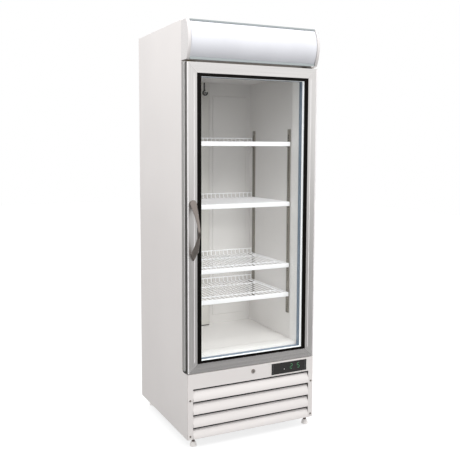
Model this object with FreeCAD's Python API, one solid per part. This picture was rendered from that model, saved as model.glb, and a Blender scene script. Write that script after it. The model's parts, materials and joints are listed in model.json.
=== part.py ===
import FreeCAD, Part
import math
import os

# Glass door merchandiser: an upright refrigerated display cabinet with one hinged glass door,
# a lit canopy over it, wire shelves inside and a louvred machine compartment below.
# Millimetres. +Z is up, the door faces -Y, and the origin is on the floor at the middle of the
# bounding box. Every function returns the solids of one sub-part.

V = FreeCAD.Vector

# ---- driving dimensions --------------------------------------------------------------------
WIDTH = 695.0
HEIGHT = 2000.0
FOOT_HEIGHT = 50.0
FRONT_Y = -291.5          # front plane of the door and of the fascia
BACK_Y = 361.5            # rear plane of the casing
CASE_EDGE_Y = -226.5      # front edge of the white side panels beside the door
SEAL_Y = -250.5           # plane that the door gasket closes on
HANDLE_REACH = 70.0       # how far the handle stands out of the door
SHEET = 1.2               # outer casing sheet
LINER = 1.5               # inner liner sheet

CAVITY_X = 287.0          # half width inside
CAVITY_BACK_Y = 286.0
CAVITY_FLOOR_Z = 432.0
CAVITY_CEILING_Z = 1778.0
CEILING_FOAM_TOP_Z = 1842.0
THROAT_X = 285.0          # half width of the door opening
THROAT_TOP_Z = 1776.0
THROAT_SILL_Z = 434.0
SILL_LIP_Z = 410.0        # the sill drops behind the door's inner bead
THROAT_DEPTH = 86.0

FASCIA_TOP_Z = 366.0
FASCIA_SHEET = 1.5
FASCIA_X = 346.0
GRILLE_X = 319.5          # half width of the louvred opening
GRILLE_TOP_Z = 294.0
SLAT_COUNT = 4
SLAT_PITCH = 62.5
SLAT_HEIGHT = 50.0
SLAT_TOP_Z = 283.5
SLAT_SET_BACK = 13.0      # upper edge of a slat behind the fascia plane
SLAT_STAND_OUT = 4.0      # lower edge of a slat in front of it

DOOR_X = 347.0
DOOR_BOTTOM_Z = 369.0
DOOR_TOP_Z = 1807.0
DOOR_DEPTH = 27.0
STILE_FACE = 50.0
TOP_RAIL_FACE = 48.0
BOTTOM_RAIL_FACE = 44.0
FRAME_WALL = 2.5
FRAME_LIP = 2.0
REBATE = 12.0
BORDER = 0.5              # thickness of the black edge band on the glass
BORDER_SIDE = 22.0        # how far the band shows inside the stiles
BORDER_TOP = 15.0
BORDER_BOTTOM = 13.0
GLASS = 4.0
GLASS_GAP = 14.0
SPACER_WIDTH = 8.0
BEAD_WALL = 6.0
BEAD_BACK_Y = -243.0
GASKET_INNER_X = 313.0
GASKET_WIDTH = 16.0
GASKET_GAP = 0.3

HINGE_X = 330.0
HINGE_Y = -275.0
PIN_R = 5.0
RUNNING_GAP = 0.05
PIN_REACH = 20.0

HANDLE_X = -318.0
HANDLE_BOTTOM_Z = 904.0
HANDLE_TOP_Z = 1184.0
HANDLE_END_WIDTH = 34.0
HANDLE_GRIP_WIDTH = 14.0
HANDLE_THICKNESS = 7.0

CANOPY_BOTTOM_Z = 1818.0
CANOPY_TOP_Z = 1996.0
CANOPY_PANEL_X = 331.0
CANOPY_CAP_X = 347.5
CANOPY_EDGE_Y = -287.0
CANOPY_BULGE = 24.0
CANOPY_BOTTOM_TRIM = 12.0
CANOPY_TOP_TRIM = 8.0

SHELF_X = 278.0
SHELF_FRONT_Y = -160.0
SHELF_BACK_Y = 245.0
SHELF_FIRST_Z = 678.5
CLIP_PITCH = 12.7
SHELF_STEPS = (0, 12, 37, 61)
SHELF_WIRE_R = 1.6
SHELF_BAR_R = 3.0
SHELF_WIRES = 22
SHELF_LIP = 22.0
SHELF_UPSTAND = 25.0
SHELF_SEAT_GAP = 0.3

STRIP_WIDTH = 24.0
STRIP_DEPTH = 5.0
STRIP_SHEET = 1.0
STRIP_BOTTOM_Z = 566.0
STRIP_TOP_Z = 1517.0
STRIP_FRONT_Y = -138.0
STRIP_REAR_Y = 234.0
SLOT_WIDTH = 8.0
SLOT_HEIGHT = 5.0

COLUMN_MID_X = -9.0       # middle of the upright light, a little left of the rear wall's middle
COLUMN_X = 28.0           # its half width
COLUMN_DEPTH = 30.0
CLIP_Z = 1720.0

FOOT_LEFT_X = -300.0
FOOT_RIGHT_X = 330.0
FOOT_PAD_R = 16.5
FOOT_FRONT_Y = -246.5
FOOT_REAR_Y = 320.0
RAIL_HALF = 14.0
RAIL_HEIGHT = 25.0

LOCK_Z = 338.0
LOCK_PLUG_R = 7.0
CAM_REACH = 40.0
CAM_HALF = 7.0
CAM_Y = -275.5
CAM_THICKNESS = 3.0

DISPLAY_X0 = 103.0
DISPLAY_X1 = 306.0
DISPLAY_Z0 = 301.5
DISPLAY_Z1 = 358.0
BEZEL_MARGIN = 8.0

FAN_X = -75.0
FAN_Z = 210.0
FAN_R = 100.0
FAN_Y = -196.0
CONDENSER_FRONT_Y = -262.0
CONDENSER_DEPTH = 40.0

# ---- worked out from the above -------------------------------------------------------------
HALF = WIDTH / 2
DOOR_BACK_Y = FRONT_Y + DOOR_DEPTH
GLASS_FRONT_Y = FRONT_Y + FRAME_LIP + BORDER
GLASS_BACK_Y = GLASS_FRONT_Y + GLASS + GLASS_GAP + GLASS
SIGHT_X = DOOR_X - STILE_FACE - BORDER_SIDE
SIGHT_TOP_Z = DOOR_TOP_Z - TOP_RAIL_FACE - BORDER_TOP
SIGHT_BOTTOM_Z = DOOR_BOTTOM_Z + BOTTOM_RAIL_FACE + BORDER_BOTTOM
SHELF_HEIGHTS = [SHELF_FIRST_Z + step * CLIP_PITCH for step in SHELF_STEPS]


# ---- building blocks -----------------------------------------------------------------------
def box(x0, x1, y0, y1, z0, z1):
    return Part.makeBox(x1 - x0, y1 - y0, z1 - z0, V(x0, y0, z0))


def mirror_x(shape):
    return shape.mirror(V(0, 0, 0), V(1, 0, 0))


def both_sides(shape):
    return [shape, mirror_x(shape)]


def rod(start, end, radius):
    run = V(*end) - V(*start)
    return Part.makeCylinder(radius, run.Length, V(*start), run)


def ring(start, end, outer, inner):
    return rod(start, end, outer).cut(rod(start, end, inner))


def prism_z(points, z0, z1):
    corners = [V(x, y, z0) for x, y in points]
    return Part.Face(Part.makePolygon(corners + corners[:1])).extrude(V(0, 0, z1 - z0))


def prism_x(points, x0, x1):
    corners = [V(x0, y, z) for y, z in points]
    return Part.Face(Part.makePolygon(corners + corners[:1])).extrude(V(x1 - x0, 0, 0))


def prism_y(points, y0, y1):
    corners = [V(x, y0, z) for x, z in points]
    return Part.Face(Part.makePolygon(corners + corners[:1])).extrude(V(0, y1 - y0, 0))


def arc_face(a, middle, b, c, second, d):
    """A strip between the arc a-middle-b and the arc c-second-d, closed by two lines."""
    edges = [Part.Arc(a, middle, b).toShape(), Part.makeLine(b, c)]
    edges += [Part.Arc(c, second, d).toShape(), Part.makeLine(d, a)]
    return Part.Face(Part.Wire(edges))


def tube_run(points, radius, bend):
    """A pipe of straight runs joined by tangent arcs of one bend radius."""
    points = [V(*p) for p in points]
    edges = []
    start = points[0]
    for before, corner, after in zip(points, points[1:], points[2:]):
        back = (before - corner).normalize()
        ahead = (after - corner).normalize()
        half_angle = back.getAngle(ahead) / 2
        setback = bend / math.tan(half_angle)
        first = corner + back * setback
        last = corner + ahead * setback
        inward = (back + ahead).normalize()
        middle = corner + inward * (bend / math.sin(half_angle) - bend)
        edges.append(Part.makeLine(start, first))
        edges.append(Part.Arc(first, middle, last).toShape())
        start = last
    edges.append(Part.makeLine(start, points[-1]))
    wire = Part.Wire(edges)
    section = Part.Wire(Part.makeCircle(radius, points[0], points[1] - points[0]))
    return wire.makePipeShell([section], True, True)


def pan_screw(x, y, z, dx, dy, shank=0.0, head_r=4.0):
    """A pan-head screw whose head stands out along (dx, dy), with a cross recess."""
    out = V(dx, dy, 0)
    head = Part.makeCylinder(head_r, 2.2, V(x, y, z), out)
    head = head.makeFillet(1.2, [max(head.Edges, key=lambda e: e.CenterOfMass.sub(V(x, y, z)).dot(out))])
    recess = Part.makeBox(4.4, 0.9, 0.8, V(-2.2, -0.45, 1.5))
    recess = recess.fuse(Part.makeBox(0.9, 4.4, 0.8, V(-0.45, -2.2, 1.5)))
    recess.Placement = FreeCAD.Placement(V(x, y, z), FreeCAD.Rotation(V(0, 0, 1), out))
    screw = head.cut(recess)
    if shank:
        screw = screw.fuse(Part.makeCylinder(1.8, shank, V(x, y, z), out * -1))
    return screw


# ---- casing --------------------------------------------------------------------------------
def side_panel(sign):
    """Outer side sheet, stepped forward below the door, with flanges folded in at both edges."""
    step = 15.0
    lower_front = FRONT_Y + 4.0
    corners = [
        V(0, BACK_Y, FOOT_HEIGHT), V(0, lower_front, FOOT_HEIGHT), V(0, lower_front, FASCIA_TOP_Z),
        V(0, CASE_EDGE_Y - step, FASCIA_TOP_Z),
    ]
    bend_middle = V(0, CASE_EDGE_Y - step * (1 - math.sin(math.radians(45))),
                    FASCIA_TOP_Z + step * (1 - math.cos(math.radians(45))))
    bend_end = V(0, CASE_EDGE_Y, FASCIA_TOP_Z + step)
    top_front = V(0, CASE_EDGE_Y, HEIGHT)
    top_back = V(0, BACK_Y, HEIGHT)
    edges = [Part.makeLine(a, b) for a, b in zip(corners, corners[1:])]
    edges.append(Part.Arc(corners[-1], bend_middle, bend_end).toShape())
    edges += [Part.makeLine(bend_end, top_front), Part.makeLine(top_front, top_back)]
    edges.append(Part.makeLine(top_back, corners[0]))
    sheet = Part.Face(Part.Wire(edges)).extrude(V(SHEET, 0, 0))
    sheet.translate(V(HALF - SHEET, 0, 0))
    front_flange = box(322.0, HALF - SHEET, CASE_EDGE_Y, CASE_EDGE_Y + SHEET,
                       FASCIA_TOP_Z + step, HEIGHT)
    rear_flange = box(331.0, HALF - SHEET, BACK_Y - 2 * SHEET, BACK_Y - SHEET, FOOT_HEIGHT, HEIGHT)
    low_flange = box(328.5, HALF - SHEET, lower_front + 12.0, lower_front + 12.0 + SHEET,
                     FOOT_HEIGHT + 1.5, FASCIA_TOP_Z - 12.0)
    panel = sheet.fuse([front_flange, rear_flange, low_flange]).removeSplitter()
    return [panel if sign > 0 else mirror_x(panel)]


def top_panel():
    return [box(-HALF + SHEET, HALF - SHEET, CASE_EDGE_Y + SHEET, BACK_Y - 2 * SHEET,
                HEIGHT - SHEET, HEIGHT)]


def back_panel():
    sheet = box(-HALF + SHEET, HALF - SHEET, BACK_Y - SHEET, BACK_Y, FASCIA_TOP_Z, HEIGHT)
    return [sheet]


COVER_BOTTOM_Z = 132.0


def rear_machine_cover():
    """Removable rear cover of the machine compartment, with rows of air slots."""
    cover = box(-330.0, 330.0, BACK_Y - 5.0, BACK_Y - 4.0, COVER_BOTTOM_Z, FASCIA_TOP_Z - 3.0)
    slots = []
    for row in range(7):
        z = 180.0 + row * 22.0
        for x in (-270.0, -80.0, 110.0):
            slots.append(box(x, x + 160.0, BACK_Y - 6.0, BACK_Y - 3.0, z, z + 8.0))
    return [cover.cut(slots)]


def base_tray():
    """Floor of the machine compartment, with a turned-up edge front and back."""
    plate = box(-HALF + SHEET, HALF - SHEET, FRONT_Y + 17.0, BACK_Y - 6.0, FOOT_HEIGHT, FOOT_HEIGHT + 1.5)
    front = box(-GRILLE_X + 5.0, GRILLE_X - 5.0, FRONT_Y + 17.0, FRONT_Y + 18.5,
                FOOT_HEIGHT, FOOT_HEIGHT + 12.0)
    rear = box(-325.0, 325.0, BACK_Y - 7.5, BACK_Y - 6.0, FOOT_HEIGHT, FOOT_HEIGHT + 22.0)
    holes = [rod((x, y, 40.0), (x, y, 60.0), 7.0) for x, y in foot_places().values()]
    vents = [box(-150.0 + i * 40.0, -130.0 + i * 40.0, -60.0, 40.0, 40.0, 60.0) for i in range(5)]
    return [plate.fuse([front, rear]).removeSplitter().cut(holes + vents)]


def foot_places():
    return {
        "front_left": (FOOT_LEFT_X, FOOT_FRONT_Y), "front_right": (FOOT_RIGHT_X, FOOT_FRONT_Y),
        "rear_left": (FOOT_LEFT_X, FOOT_REAR_Y), "rear_right": (FOOT_RIGHT_X, FOOT_REAR_Y),
    }


def base_rails():
    """Two box-section rails along the base, with a nut welded in over each foot."""
    low = FOOT_HEIGHT + 1.5
    rails = []
    for x in (FOOT_LEFT_X, FOOT_RIGHT_X):
        outer = box(x - RAIL_HALF, x + RAIL_HALF, -272.0, 352.0, low, low + RAIL_HEIGHT)
        inner = box(x - RAIL_HALF + 2, x + RAIL_HALF - 2, -273.0, 353.0, low + 2, low + RAIL_HEIGHT - 2)
        rail = outer.cut(inner)
        for y in (FOOT_FRONT_Y, FOOT_REAR_Y):
            corners = [(x + 9.5 * math.cos(math.radians(60 * i)),
                        y + 9.5 * math.sin(math.radians(60 * i))) for i in range(6)]
            rail = rail.fuse(prism_z(corners, low + 2, low + 11))
            rail = rail.cut(rod((x, y, low - 1), (x, y, low + 12), PIN_R + RUNNING_GAP))
        rails.append(rail.removeSplitter())
    return rails


def foot(place):
    """Levelling foot: a threaded stem with a hexagon collar on a domed pad."""
    x, y = foot_places()[place]
    pad = rod((x, y, 0), (x, y, 7), FOOT_PAD_R)
    bowl = Part.makeCone(FOOT_PAD_R, 9.0, 15.0, V(x, y, 7), V(0, 0, 1))
    collar = prism_z([(x + 8.5 * math.cos(math.radians(60 * i)),
                       y + 8.5 * math.sin(math.radians(60 * i))) for i in range(6)], 22, 29)
    stem = rod((x, y, 29), (x, y, 66), PIN_R)
    return [pad.fuse([bowl, collar, stem]).removeSplitter()]


def foam_insulation():
    """The blown foam between the liner and the casing: two walls, back, ceiling and floor."""
    inner = CAVITY_X + LINER
    outer = HALF - SHEET
    floor_low = FASCIA_TOP_Z + 7.0
    front = CASE_EDGE_Y + SHEET
    back_face = CAVITY_BACK_Y + LINER + 12.0
    back_end = BACK_Y - 2 * SHEET
    wall = box(inner, outer, front, back_end - 0.5, floor_low, CEILING_FOAM_TOP_Z)
    neck = box(inner, 321.5, CASE_EDGE_Y, front, floor_low, CEILING_FOAM_TOP_Z - 45.0)
    nose = box(inner, 343.5, SEAL_Y + 2.0, CASE_EDGE_Y, floor_low + 3.0, THROAT_TOP_Z + 30.0)
    wall = wall.fuse([neck, nose]).removeSplitter()
    back = box(-inner, inner, back_face, back_end - 0.5, floor_low, CEILING_FOAM_TOP_Z)
    ceiling_low = CAVITY_CEILING_Z + LINER
    ceiling = box(-inner, inner, front, back_face, ceiling_low, CEILING_FOAM_TOP_Z)
    floor = box(-inner, inner, front, back_face, floor_low, CAVITY_FLOOR_Z - LINER - 14.5)
    throat = box(THROAT_X, inner, front, SEAL_Y + THROAT_DEPTH, floor_low, CEILING_FOAM_TOP_Z)
    return both_sides(wall) + [back, ceiling.cut(both_sides(throat)), floor.cut(both_sides(throat))]


def inner_liner():
    """Side walls, rear wall, ceiling and floor of the cold cavity."""
    front = SEAL_Y + THROAT_DEPTH
    low = CAVITY_FLOOR_Z - LINER
    high = CAVITY_CEILING_Z + LINER
    wall = box(CAVITY_X, CAVITY_X + LINER, front, CAVITY_BACK_Y + LINER, low, high)
    back = box(-CAVITY_X, CAVITY_X, CAVITY_BACK_Y, CAVITY_BACK_Y + LINER, low, high)
    ceiling = box(-CAVITY_X, CAVITY_X, front, CAVITY_BACK_Y, CAVITY_CEILING_Z, high)
    floor = box(-CAVITY_X, CAVITY_X, front, CAVITY_BACK_Y, low, CAVITY_FLOOR_Z)
    return both_sides(wall) + [back, ceiling, floor]


def breaker_strips():
    """Plastic frame round the door opening: two uprights, a head and a stepped sill."""
    back = SEAL_Y + THROAT_DEPTH
    inner = CAVITY_X + LINER
    bottom = FASCIA_TOP_Z + 5.0
    top = CANOPY_BOTTOM_Z - 4.5
    upright = prism_z([
        (THROAT_X, back), (THROAT_X, SEAL_Y), (345.5, SEAL_Y), (345.5, CASE_EDGE_Y),
        (343.5, CASE_EDGE_Y), (343.5, SEAL_Y + 2.0), (inner, SEAL_Y + 2.0), (inner, back),
    ], bottom, top)
    head = prism_x([
        (back, THROAT_TOP_Z), (SEAL_Y, THROAT_TOP_Z), (SEAL_Y, top), (CASE_EDGE_Y, top),
        (CASE_EDGE_Y, top - 2.0), (SEAL_Y + 2.0, top - 2.0),
        (SEAL_Y + 2.0, CAVITY_CEILING_Z + LINER), (back, CAVITY_CEILING_Z + LINER),
    ], -THROAT_X, THROAT_X)
    sill = prism_x([
        (back, THROAT_SILL_Z), (CASE_EDGE_Y, THROAT_SILL_Z), (CASE_EDGE_Y - 9.0, SILL_LIP_Z),
        (SEAL_Y, SILL_LIP_Z), (SEAL_Y, bottom), (SEAL_Y + 2.0, bottom),
        (SEAL_Y + 2.0, SILL_LIP_Z - 3.0), (CASE_EDGE_Y - 6.0, SILL_LIP_Z - 3.0),
        (CASE_EDGE_Y + 3.0, CAVITY_FLOOR_Z - LINER), (back, CAVITY_FLOOR_Z - LINER),
    ], -THROAT_X, THROAT_X)
    return both_sides(upright) + [head, sill]


# ---- inside the cavity ---------------------------------------------------------------------
def rear_wall_panels():
    """Two pressed covers on the rear wall, in front of the evaporator."""
    low, high = 480.0, 1708.0
    slab = box(51.0, 260.0, CAVITY_BACK_Y - 4.0, CAVITY_BACK_Y, low, high)
    rim = [e for e in slab.Edges if abs(e.CenterOfMass.y - (CAVITY_BACK_Y - 4.0)) < 1e-6]
    hollow = box(55.5, 255.5, CAVITY_BACK_Y - 3.0, CAVITY_BACK_Y + 1.0, low + 4.5, high - 4.5)
    return both_sides(slab.makeChamfer(3.0, rim).cut(hollow))


def evaporator_plate():
    """Plate evaporator behind the rear wall, with its tube pressed in as horizontal ridges."""
    y = CAVITY_BACK_Y + LINER
    plate = box(-262.0, 262.0, y, y + 3.0, 460.0, 1710.0)
    ridges = [rod((-250.0, y + 3.0, z), (250.0, y + 3.0, z), 5.0) for z in range(500, 1700, 100)]
    keep = box(-263.0, 263.0, y, y + 11.0, 450.0, 1720.0)
    return [plate.fuse(ridges).common(keep).removeSplitter()]


def at_column(shape):
    """Moves a shape drawn round X = 0 to the middle of the upright light."""
    shape.translate(V(COLUMN_MID_X, 0, 0))
    return shape


def light_column_base():
    """Channel on the rear wall that carries the upright cavity light."""
    low = CAVITY_FLOOR_Z + 2.0
    front = CAVITY_BACK_Y - COLUMN_DEPTH + 2.0
    outer = box(-COLUMN_X, COLUMN_X, front, CAVITY_BACK_Y, low, CAVITY_CEILING_Z)
    hollow = box(-COLUMN_X + 1.5, COLUMN_X - 1.5, front - 1, CAVITY_BACK_Y - 1.5, low - 1,
                 CAVITY_CEILING_Z + 1)
    return [at_column(outer.cut(hollow))]


def light_column_cover():
    """Milky cover of the cavity light, with a bevelled front."""
    front = CAVITY_BACK_Y - COLUMN_DEPTH
    low = CAVITY_FLOOR_Z + 2.0
    wide = COLUMN_X - 1.6
    return [at_column(prism_z([
        (-wide + 3.0, front), (wide - 3.0, front), (wide, front + 3.0), (wide, front + 12.0),
        (wide - 1.5, front + 12.0), (wide - 1.5, front + 3.6), (wide - 3.6, front + 1.5),
        (-wide + 3.6, front + 1.5), (-wide + 1.5, front + 3.6), (-wide + 1.5, front + 12.0),
        (-wide, front + 12.0), (-wide, front + 3.0),
    ], low, CAVITY_CEILING_Z))]


def led_strip():
    """Light board inside the column with its row of emitters."""
    y = CAVITY_BACK_Y - 1.5
    board = box(-8.0, 8.0, y - 1.6, y, 440.0, 1755.0)
    chips = [box(-2.5, 2.5, y - 3.0, y - 1.6, z, z + 5.0) for z in range(455, 1745, 30)]
    return [at_column(board.fuse(chips))]


def probe_clip():
    """Open ring clip with a thermometer probe, hanging from a short arm at the column's top."""
    y = CAVITY_BACK_Y - COLUMN_DEPTH
    centre = V(0, y - 9.0, CLIP_Z)
    axis = V(0, 1, 0)
    outer = Part.makeCylinder(15.0, 9.0, centre, axis)
    inner = Part.makeCylinder(10.0, 9.0, centre, axis)
    mouth = prism_y([(0.0, CLIP_Z), (18.0, CLIP_Z + 6.0), (18.0, CLIP_Z + 20.0), (0.0, CLIP_Z + 20.0)],
                    y - 10.0, y + 1.0)
    clip = outer.cut([inner, mouth])
    arm = box(-7.0, -2.0, y - 6.0, y, CLIP_Z + 11.0, CAVITY_CEILING_Z - 4.0)
    probe = Part.makeCylinder(3.0, 9.0, centre, axis)
    return [at_column(clip.fuse(arm).removeSplitter()), at_column(probe)]


def strip_places():
    return [(side, y) for side in (-1, 1) for y in (STRIP_FRONT_Y, STRIP_REAR_Y)]


def slot_heights():
    first = SHELF_FIRST_Z - 8 * CLIP_PITCH
    count = int((STRIP_TOP_Z - first - 6.0) / CLIP_PITCH) + 1
    return [first + i * CLIP_PITCH for i in range(count)]


def pilaster_strips():
    """Slotted channels on the side walls that the shelf clips hook into."""
    strips = []
    for side, y in strip_places():
        face = CAVITY_X - STRIP_DEPTH
        outer = box(face, CAVITY_X, y - STRIP_WIDTH / 2, y + STRIP_WIDTH / 2, STRIP_BOTTOM_Z, STRIP_TOP_Z)
        hollow = box(face + STRIP_SHEET, CAVITY_X + 1, y - STRIP_WIDTH / 2 + STRIP_SHEET,
                     y + STRIP_WIDTH / 2 - STRIP_SHEET, STRIP_BOTTOM_Z - 1, STRIP_TOP_Z + 1)
        slots = [box(face - 1, face + 2, y - SLOT_WIDTH / 2, y + SLOT_WIDTH / 2,
                     z - SLOT_HEIGHT - 16.0, z - 16.0) for z in slot_heights()]
        strip = outer.cut([hollow] + slots)
        strips.append(strip if side > 0 else mirror_x(strip))
    return strips


def shelf_clips():
    """Four clips under each shelf: a tab in the slot, a gusset and a seat for the side bar."""
    clips = []
    face = CAVITY_X - STRIP_DEPTH
    for height in SHELF_HEIGHTS:
        seat = height - 2 * SHELF_BAR_R - 2 * SHELF_WIRE_R - SHELF_SEAT_GAP
        for side, y in strip_places():
            gusset = prism_y([(face, seat), (face - 26.0, seat), (face - 26.0, seat - 3.0),
                              (face, seat - 20.0)], y - 7.0, y + 7.0)
            nose = box(face - 26.0, face - 24.0, y - 7.0, y + 7.0, seat, seat + 4.0)
            tab = box(face, face + 3.0, y - 3.0, y + 3.0, height - 20.3, height - 16.8)
            clip = gusset.fuse([nose, tab]).removeSplitter()
            clips.append(clip if side > 0 else mirror_x(clip))
    return clips


def shelf(index):
    """Wire shelf: front-to-back wires on cross bars, a turned-down front and a rear upstand."""
    top = SHELF_HEIGHTS[index]
    wire_z = top - SHELF_WIRE_R
    bar_z = top - 2 * SHELF_WIRE_R - SHELF_BAR_R
    solids = []
    side_x = SHELF_X - SHELF_BAR_R
    side_bar = rod((side_x - 10.0, SHELF_FRONT_Y + 12.0, bar_z), (side_x - 10.0, SHELF_BACK_Y - 6.0, bar_z),
                   SHELF_BAR_R)
    solids += both_sides(side_bar)
    pitch = 2 * (SHELF_X - 4.0) / SHELF_WIRES
    for i in range(SHELF_WIRES + 1):
        x = -SHELF_X + 4.0 + i * pitch
        solids.append(rod((x, SHELF_FRONT_Y + 2.4, wire_z), (x, SHELF_BACK_Y - 2.4, wire_z), SHELF_WIRE_R))
    for y in (SHELF_FRONT_Y + 90.0, SHELF_BACK_Y - 90.0):
        reach = side_x - 10.0 - SHELF_BAR_R
        solids.append(rod((-reach, y, bar_z), (reach, y, bar_z), SHELF_BAR_R))
    lip = box(-SHELF_X, SHELF_X, SHELF_FRONT_Y, SHELF_FRONT_Y + 2.4, top - SHELF_LIP, top)
    rise = box(-SHELF_X, SHELF_X, SHELF_BACK_Y - 2.4, SHELF_BACK_Y, top - 6.0, top + SHELF_UPSTAND)
    gaps = []
    for i in range(SHELF_WIRES):
        x = -SHELF_X + 4.0 + i * pitch
        gaps.append(box(x + 1.6, x + pitch - 1.6, SHELF_BACK_Y - 3.0, SHELF_BACK_Y + 1.0,
                        top + 0.5, top + SHELF_UPSTAND - 5.0))
    solids += [lip, rise.cut(gaps)]
    return solids


# ---- fascia --------------------------------------------------------------------------------
def lock_slot():
    """Clear space that the lock cam turns up through."""
    return box(-10.0, 35.0, CAM_Y - 3.0, CAM_Y + CAM_THICKNESS + 3.0, 355.0, DOOR_BOTTOM_Z + 12.0)


def fascia_panel():
    """Lower front: a top band for the lock and the display, and an upright margin each side."""
    back = FRONT_Y + FASCIA_SHEET
    low = FOOT_HEIGHT + 1.0
    band = box(-FASCIA_X, FASCIA_X, FRONT_Y, back, GRILLE_TOP_Z, FASCIA_TOP_Z)
    margin = box(GRILLE_X, FASCIA_X, FRONT_Y, back, low, GRILLE_TOP_Z)
    outer_return = box(FASCIA_X - FASCIA_SHEET, FASCIA_X, FRONT_Y, FRONT_Y + 14.0, low, FASCIA_TOP_Z)
    top_flange = box(-FASCIA_X, FASCIA_X, FRONT_Y, FRONT_Y + 26.0, FASCIA_TOP_Z - FASCIA_SHEET, FASCIA_TOP_Z)
    low_flange = box(-GRILLE_X, GRILLE_X, FRONT_Y, FRONT_Y + 14.0, GRILLE_TOP_Z, GRILLE_TOP_Z + FASCIA_SHEET)
    sides = both_sides(margin) + both_sides(outer_return)
    panel = band.fuse(sides + [top_flange, low_flange]).removeSplitter()
    corners = [e for e in panel.Edges if abs(abs(e.CenterOfMass.x) - FASCIA_X) < 1e-6
               and abs(e.CenterOfMass.y - FRONT_Y) < 1e-6 and e.BoundBox.ZLength > 100]
    panel = panel.makeFillet(1.4, corners)
    window = box(DISPLAY_X0 - 6.0, DISPLAY_X1 + 6.0, FRONT_Y - 1, back + 1,
                 DISPLAY_Z0 - 3.5, DISPLAY_Z1 + 3.5)
    lock_hole = rod((0, FRONT_Y - 1, LOCK_Z), (0, back + 1, LOCK_Z), 9.0)
    pin_hole = rod((HINGE_X, HINGE_Y, FASCIA_TOP_Z - 3), (HINGE_X, HINGE_Y, FASCIA_TOP_Z + 1), 7.0)
    holes = [rod((x, FRONT_Y - 1, z), (x, back + 1, z), 2.0) for x, z in fascia_screw_places()]
    return [panel.cut([window, lock_hole, pin_hole, lock_slot()] + holes)]


def fascia_screw_places():
    return [(x, z) for x in (-334.0, 334.0) for z in (68.0, 241.0)]


def louvre_slats():
    """Leaning air louvres between the fascia margins, each with a hemmed lower edge."""
    slats = []
    for i in range(SLAT_COUNT):
        top = SLAT_TOP_Z - i * SLAT_PITCH
        low = max(top - SLAT_HEIGHT, FOOT_HEIGHT + 2.0)
        top_y = FRONT_Y + SLAT_SET_BACK
        low_y = FRONT_Y - SLAT_STAND_OUT
        mid_y = (top_y + low_y) / 2 - 4.5
        mid_z = (top + low) / 2
        t = FASCIA_SHEET
        face = arc_face(V(-GRILLE_X, top_y, top), V(-GRILLE_X, mid_y, mid_z), V(-GRILLE_X, low_y, low + 1),
                        V(-GRILLE_X, low_y + t, low + 1), V(-GRILLE_X, mid_y + t, mid_z),
                        V(-GRILLE_X, top_y + t, top))
        blade = face.extrude(V(2 * GRILLE_X, 0, 0))
        hem = box(-GRILLE_X, GRILLE_X, low_y, low_y + 9.0, low, low + 1.2)
        head = box(-GRILLE_X, GRILLE_X, top_y, top_y + 8.0, top - 1.2, top)
        slats.append(blade.fuse([hem, head]).removeSplitter())
    return slats


def display_window():
    return [box(DISPLAY_X0, DISPLAY_X1, FRONT_Y - 1.0, FRONT_Y + 2.0, DISPLAY_Z0, DISPLAY_Z1)]


def controller_box():
    """Temperature controller: a bezel round the window and its case behind the fascia."""
    m = BEZEL_MARGIN
    bezel = box(DISPLAY_X0 - m, DISPLAY_X1 + m, FRONT_Y - 1.2, FRONT_Y, DISPLAY_Z0 - 5.0, DISPLAY_Z1 + 5.0)
    case = box(DISPLAY_X0 - 5.0, DISPLAY_X1 + 5.0, FRONT_Y, FRONT_Y + 42.0,
               DISPLAY_Z0 - 3.0, DISPLAY_Z1 + 3.0)
    seat = box(DISPLAY_X0, DISPLAY_X1, FRONT_Y - 2.0, FRONT_Y + 2.0, DISPLAY_Z0, DISPLAY_Z1)
    hollow = box(DISPLAY_X0 + 2.0, DISPLAY_X1 - 2.0, FRONT_Y + 4.0, FRONT_Y + 40.0,
                 DISPLAY_Z0 + 1.0, DISPLAY_Z1 - 1.0)
    return [bezel.fuse(case).removeSplitter().cut([seat, hollow])]


def lock_housing():
    """Barrel of the door lock, with its rim on the fascia."""
    rim = rod((0, FRONT_Y - 2.5, LOCK_Z), (0, FRONT_Y, LOCK_Z), 10.5)
    barrel = rod((0, FRONT_Y, LOCK_Z), (0, CAM_Y - 0.5, LOCK_Z), 9.0)
    bore = rod((0, FRONT_Y - 3, LOCK_Z), (0, CAM_Y, LOCK_Z), LOCK_PLUG_R + RUNNING_GAP)
    return [rim.fuse(barrel).removeSplitter().cut(bore)]


def lock_cylinder():
    """Turning plug of the lock, with a keyhole in its face and a stub for the cam."""
    plug = rod((0, FRONT_Y - 2.8, LOCK_Z), (0, CAM_Y, LOCK_Z), LOCK_PLUG_R)
    stub = rod((0, CAM_Y, LOCK_Z), (0, CAM_Y + CAM_THICKNESS + 1.5, LOCK_Z), 4.0)
    key_round = rod((0, FRONT_Y - 3, LOCK_Z + 1.5), (0, FRONT_Y + 4, LOCK_Z + 1.5), 2.0)
    key_slot = box(-0.8, 0.8, FRONT_Y - 3, FRONT_Y + 4, LOCK_Z - 4.5, LOCK_Z + 1.5)
    return [plug.fuse(stub).removeSplitter().cut([key_round, key_slot])]


def lock_cam():
    """Cam of the lock: level when open, turned up into the door's bottom rail when locked."""
    near = CAM_Y
    far = CAM_Y + CAM_THICKNESS
    arm = box(0, CAM_REACH - CAM_HALF, near, far, LOCK_Z - CAM_HALF, LOCK_Z + CAM_HALF)
    tip = rod((CAM_REACH - CAM_HALF, near, LOCK_Z), (CAM_REACH - CAM_HALF, far, LOCK_Z), CAM_HALF)
    hub = rod((0, near, LOCK_Z), (0, far, LOCK_Z), CAM_HALF)
    hole = rod((0, near - 1, LOCK_Z), (0, far + 1, LOCK_Z), 4.0)
    return [arm.fuse([tip, hub]).removeSplitter().cut(hole)]


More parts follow.
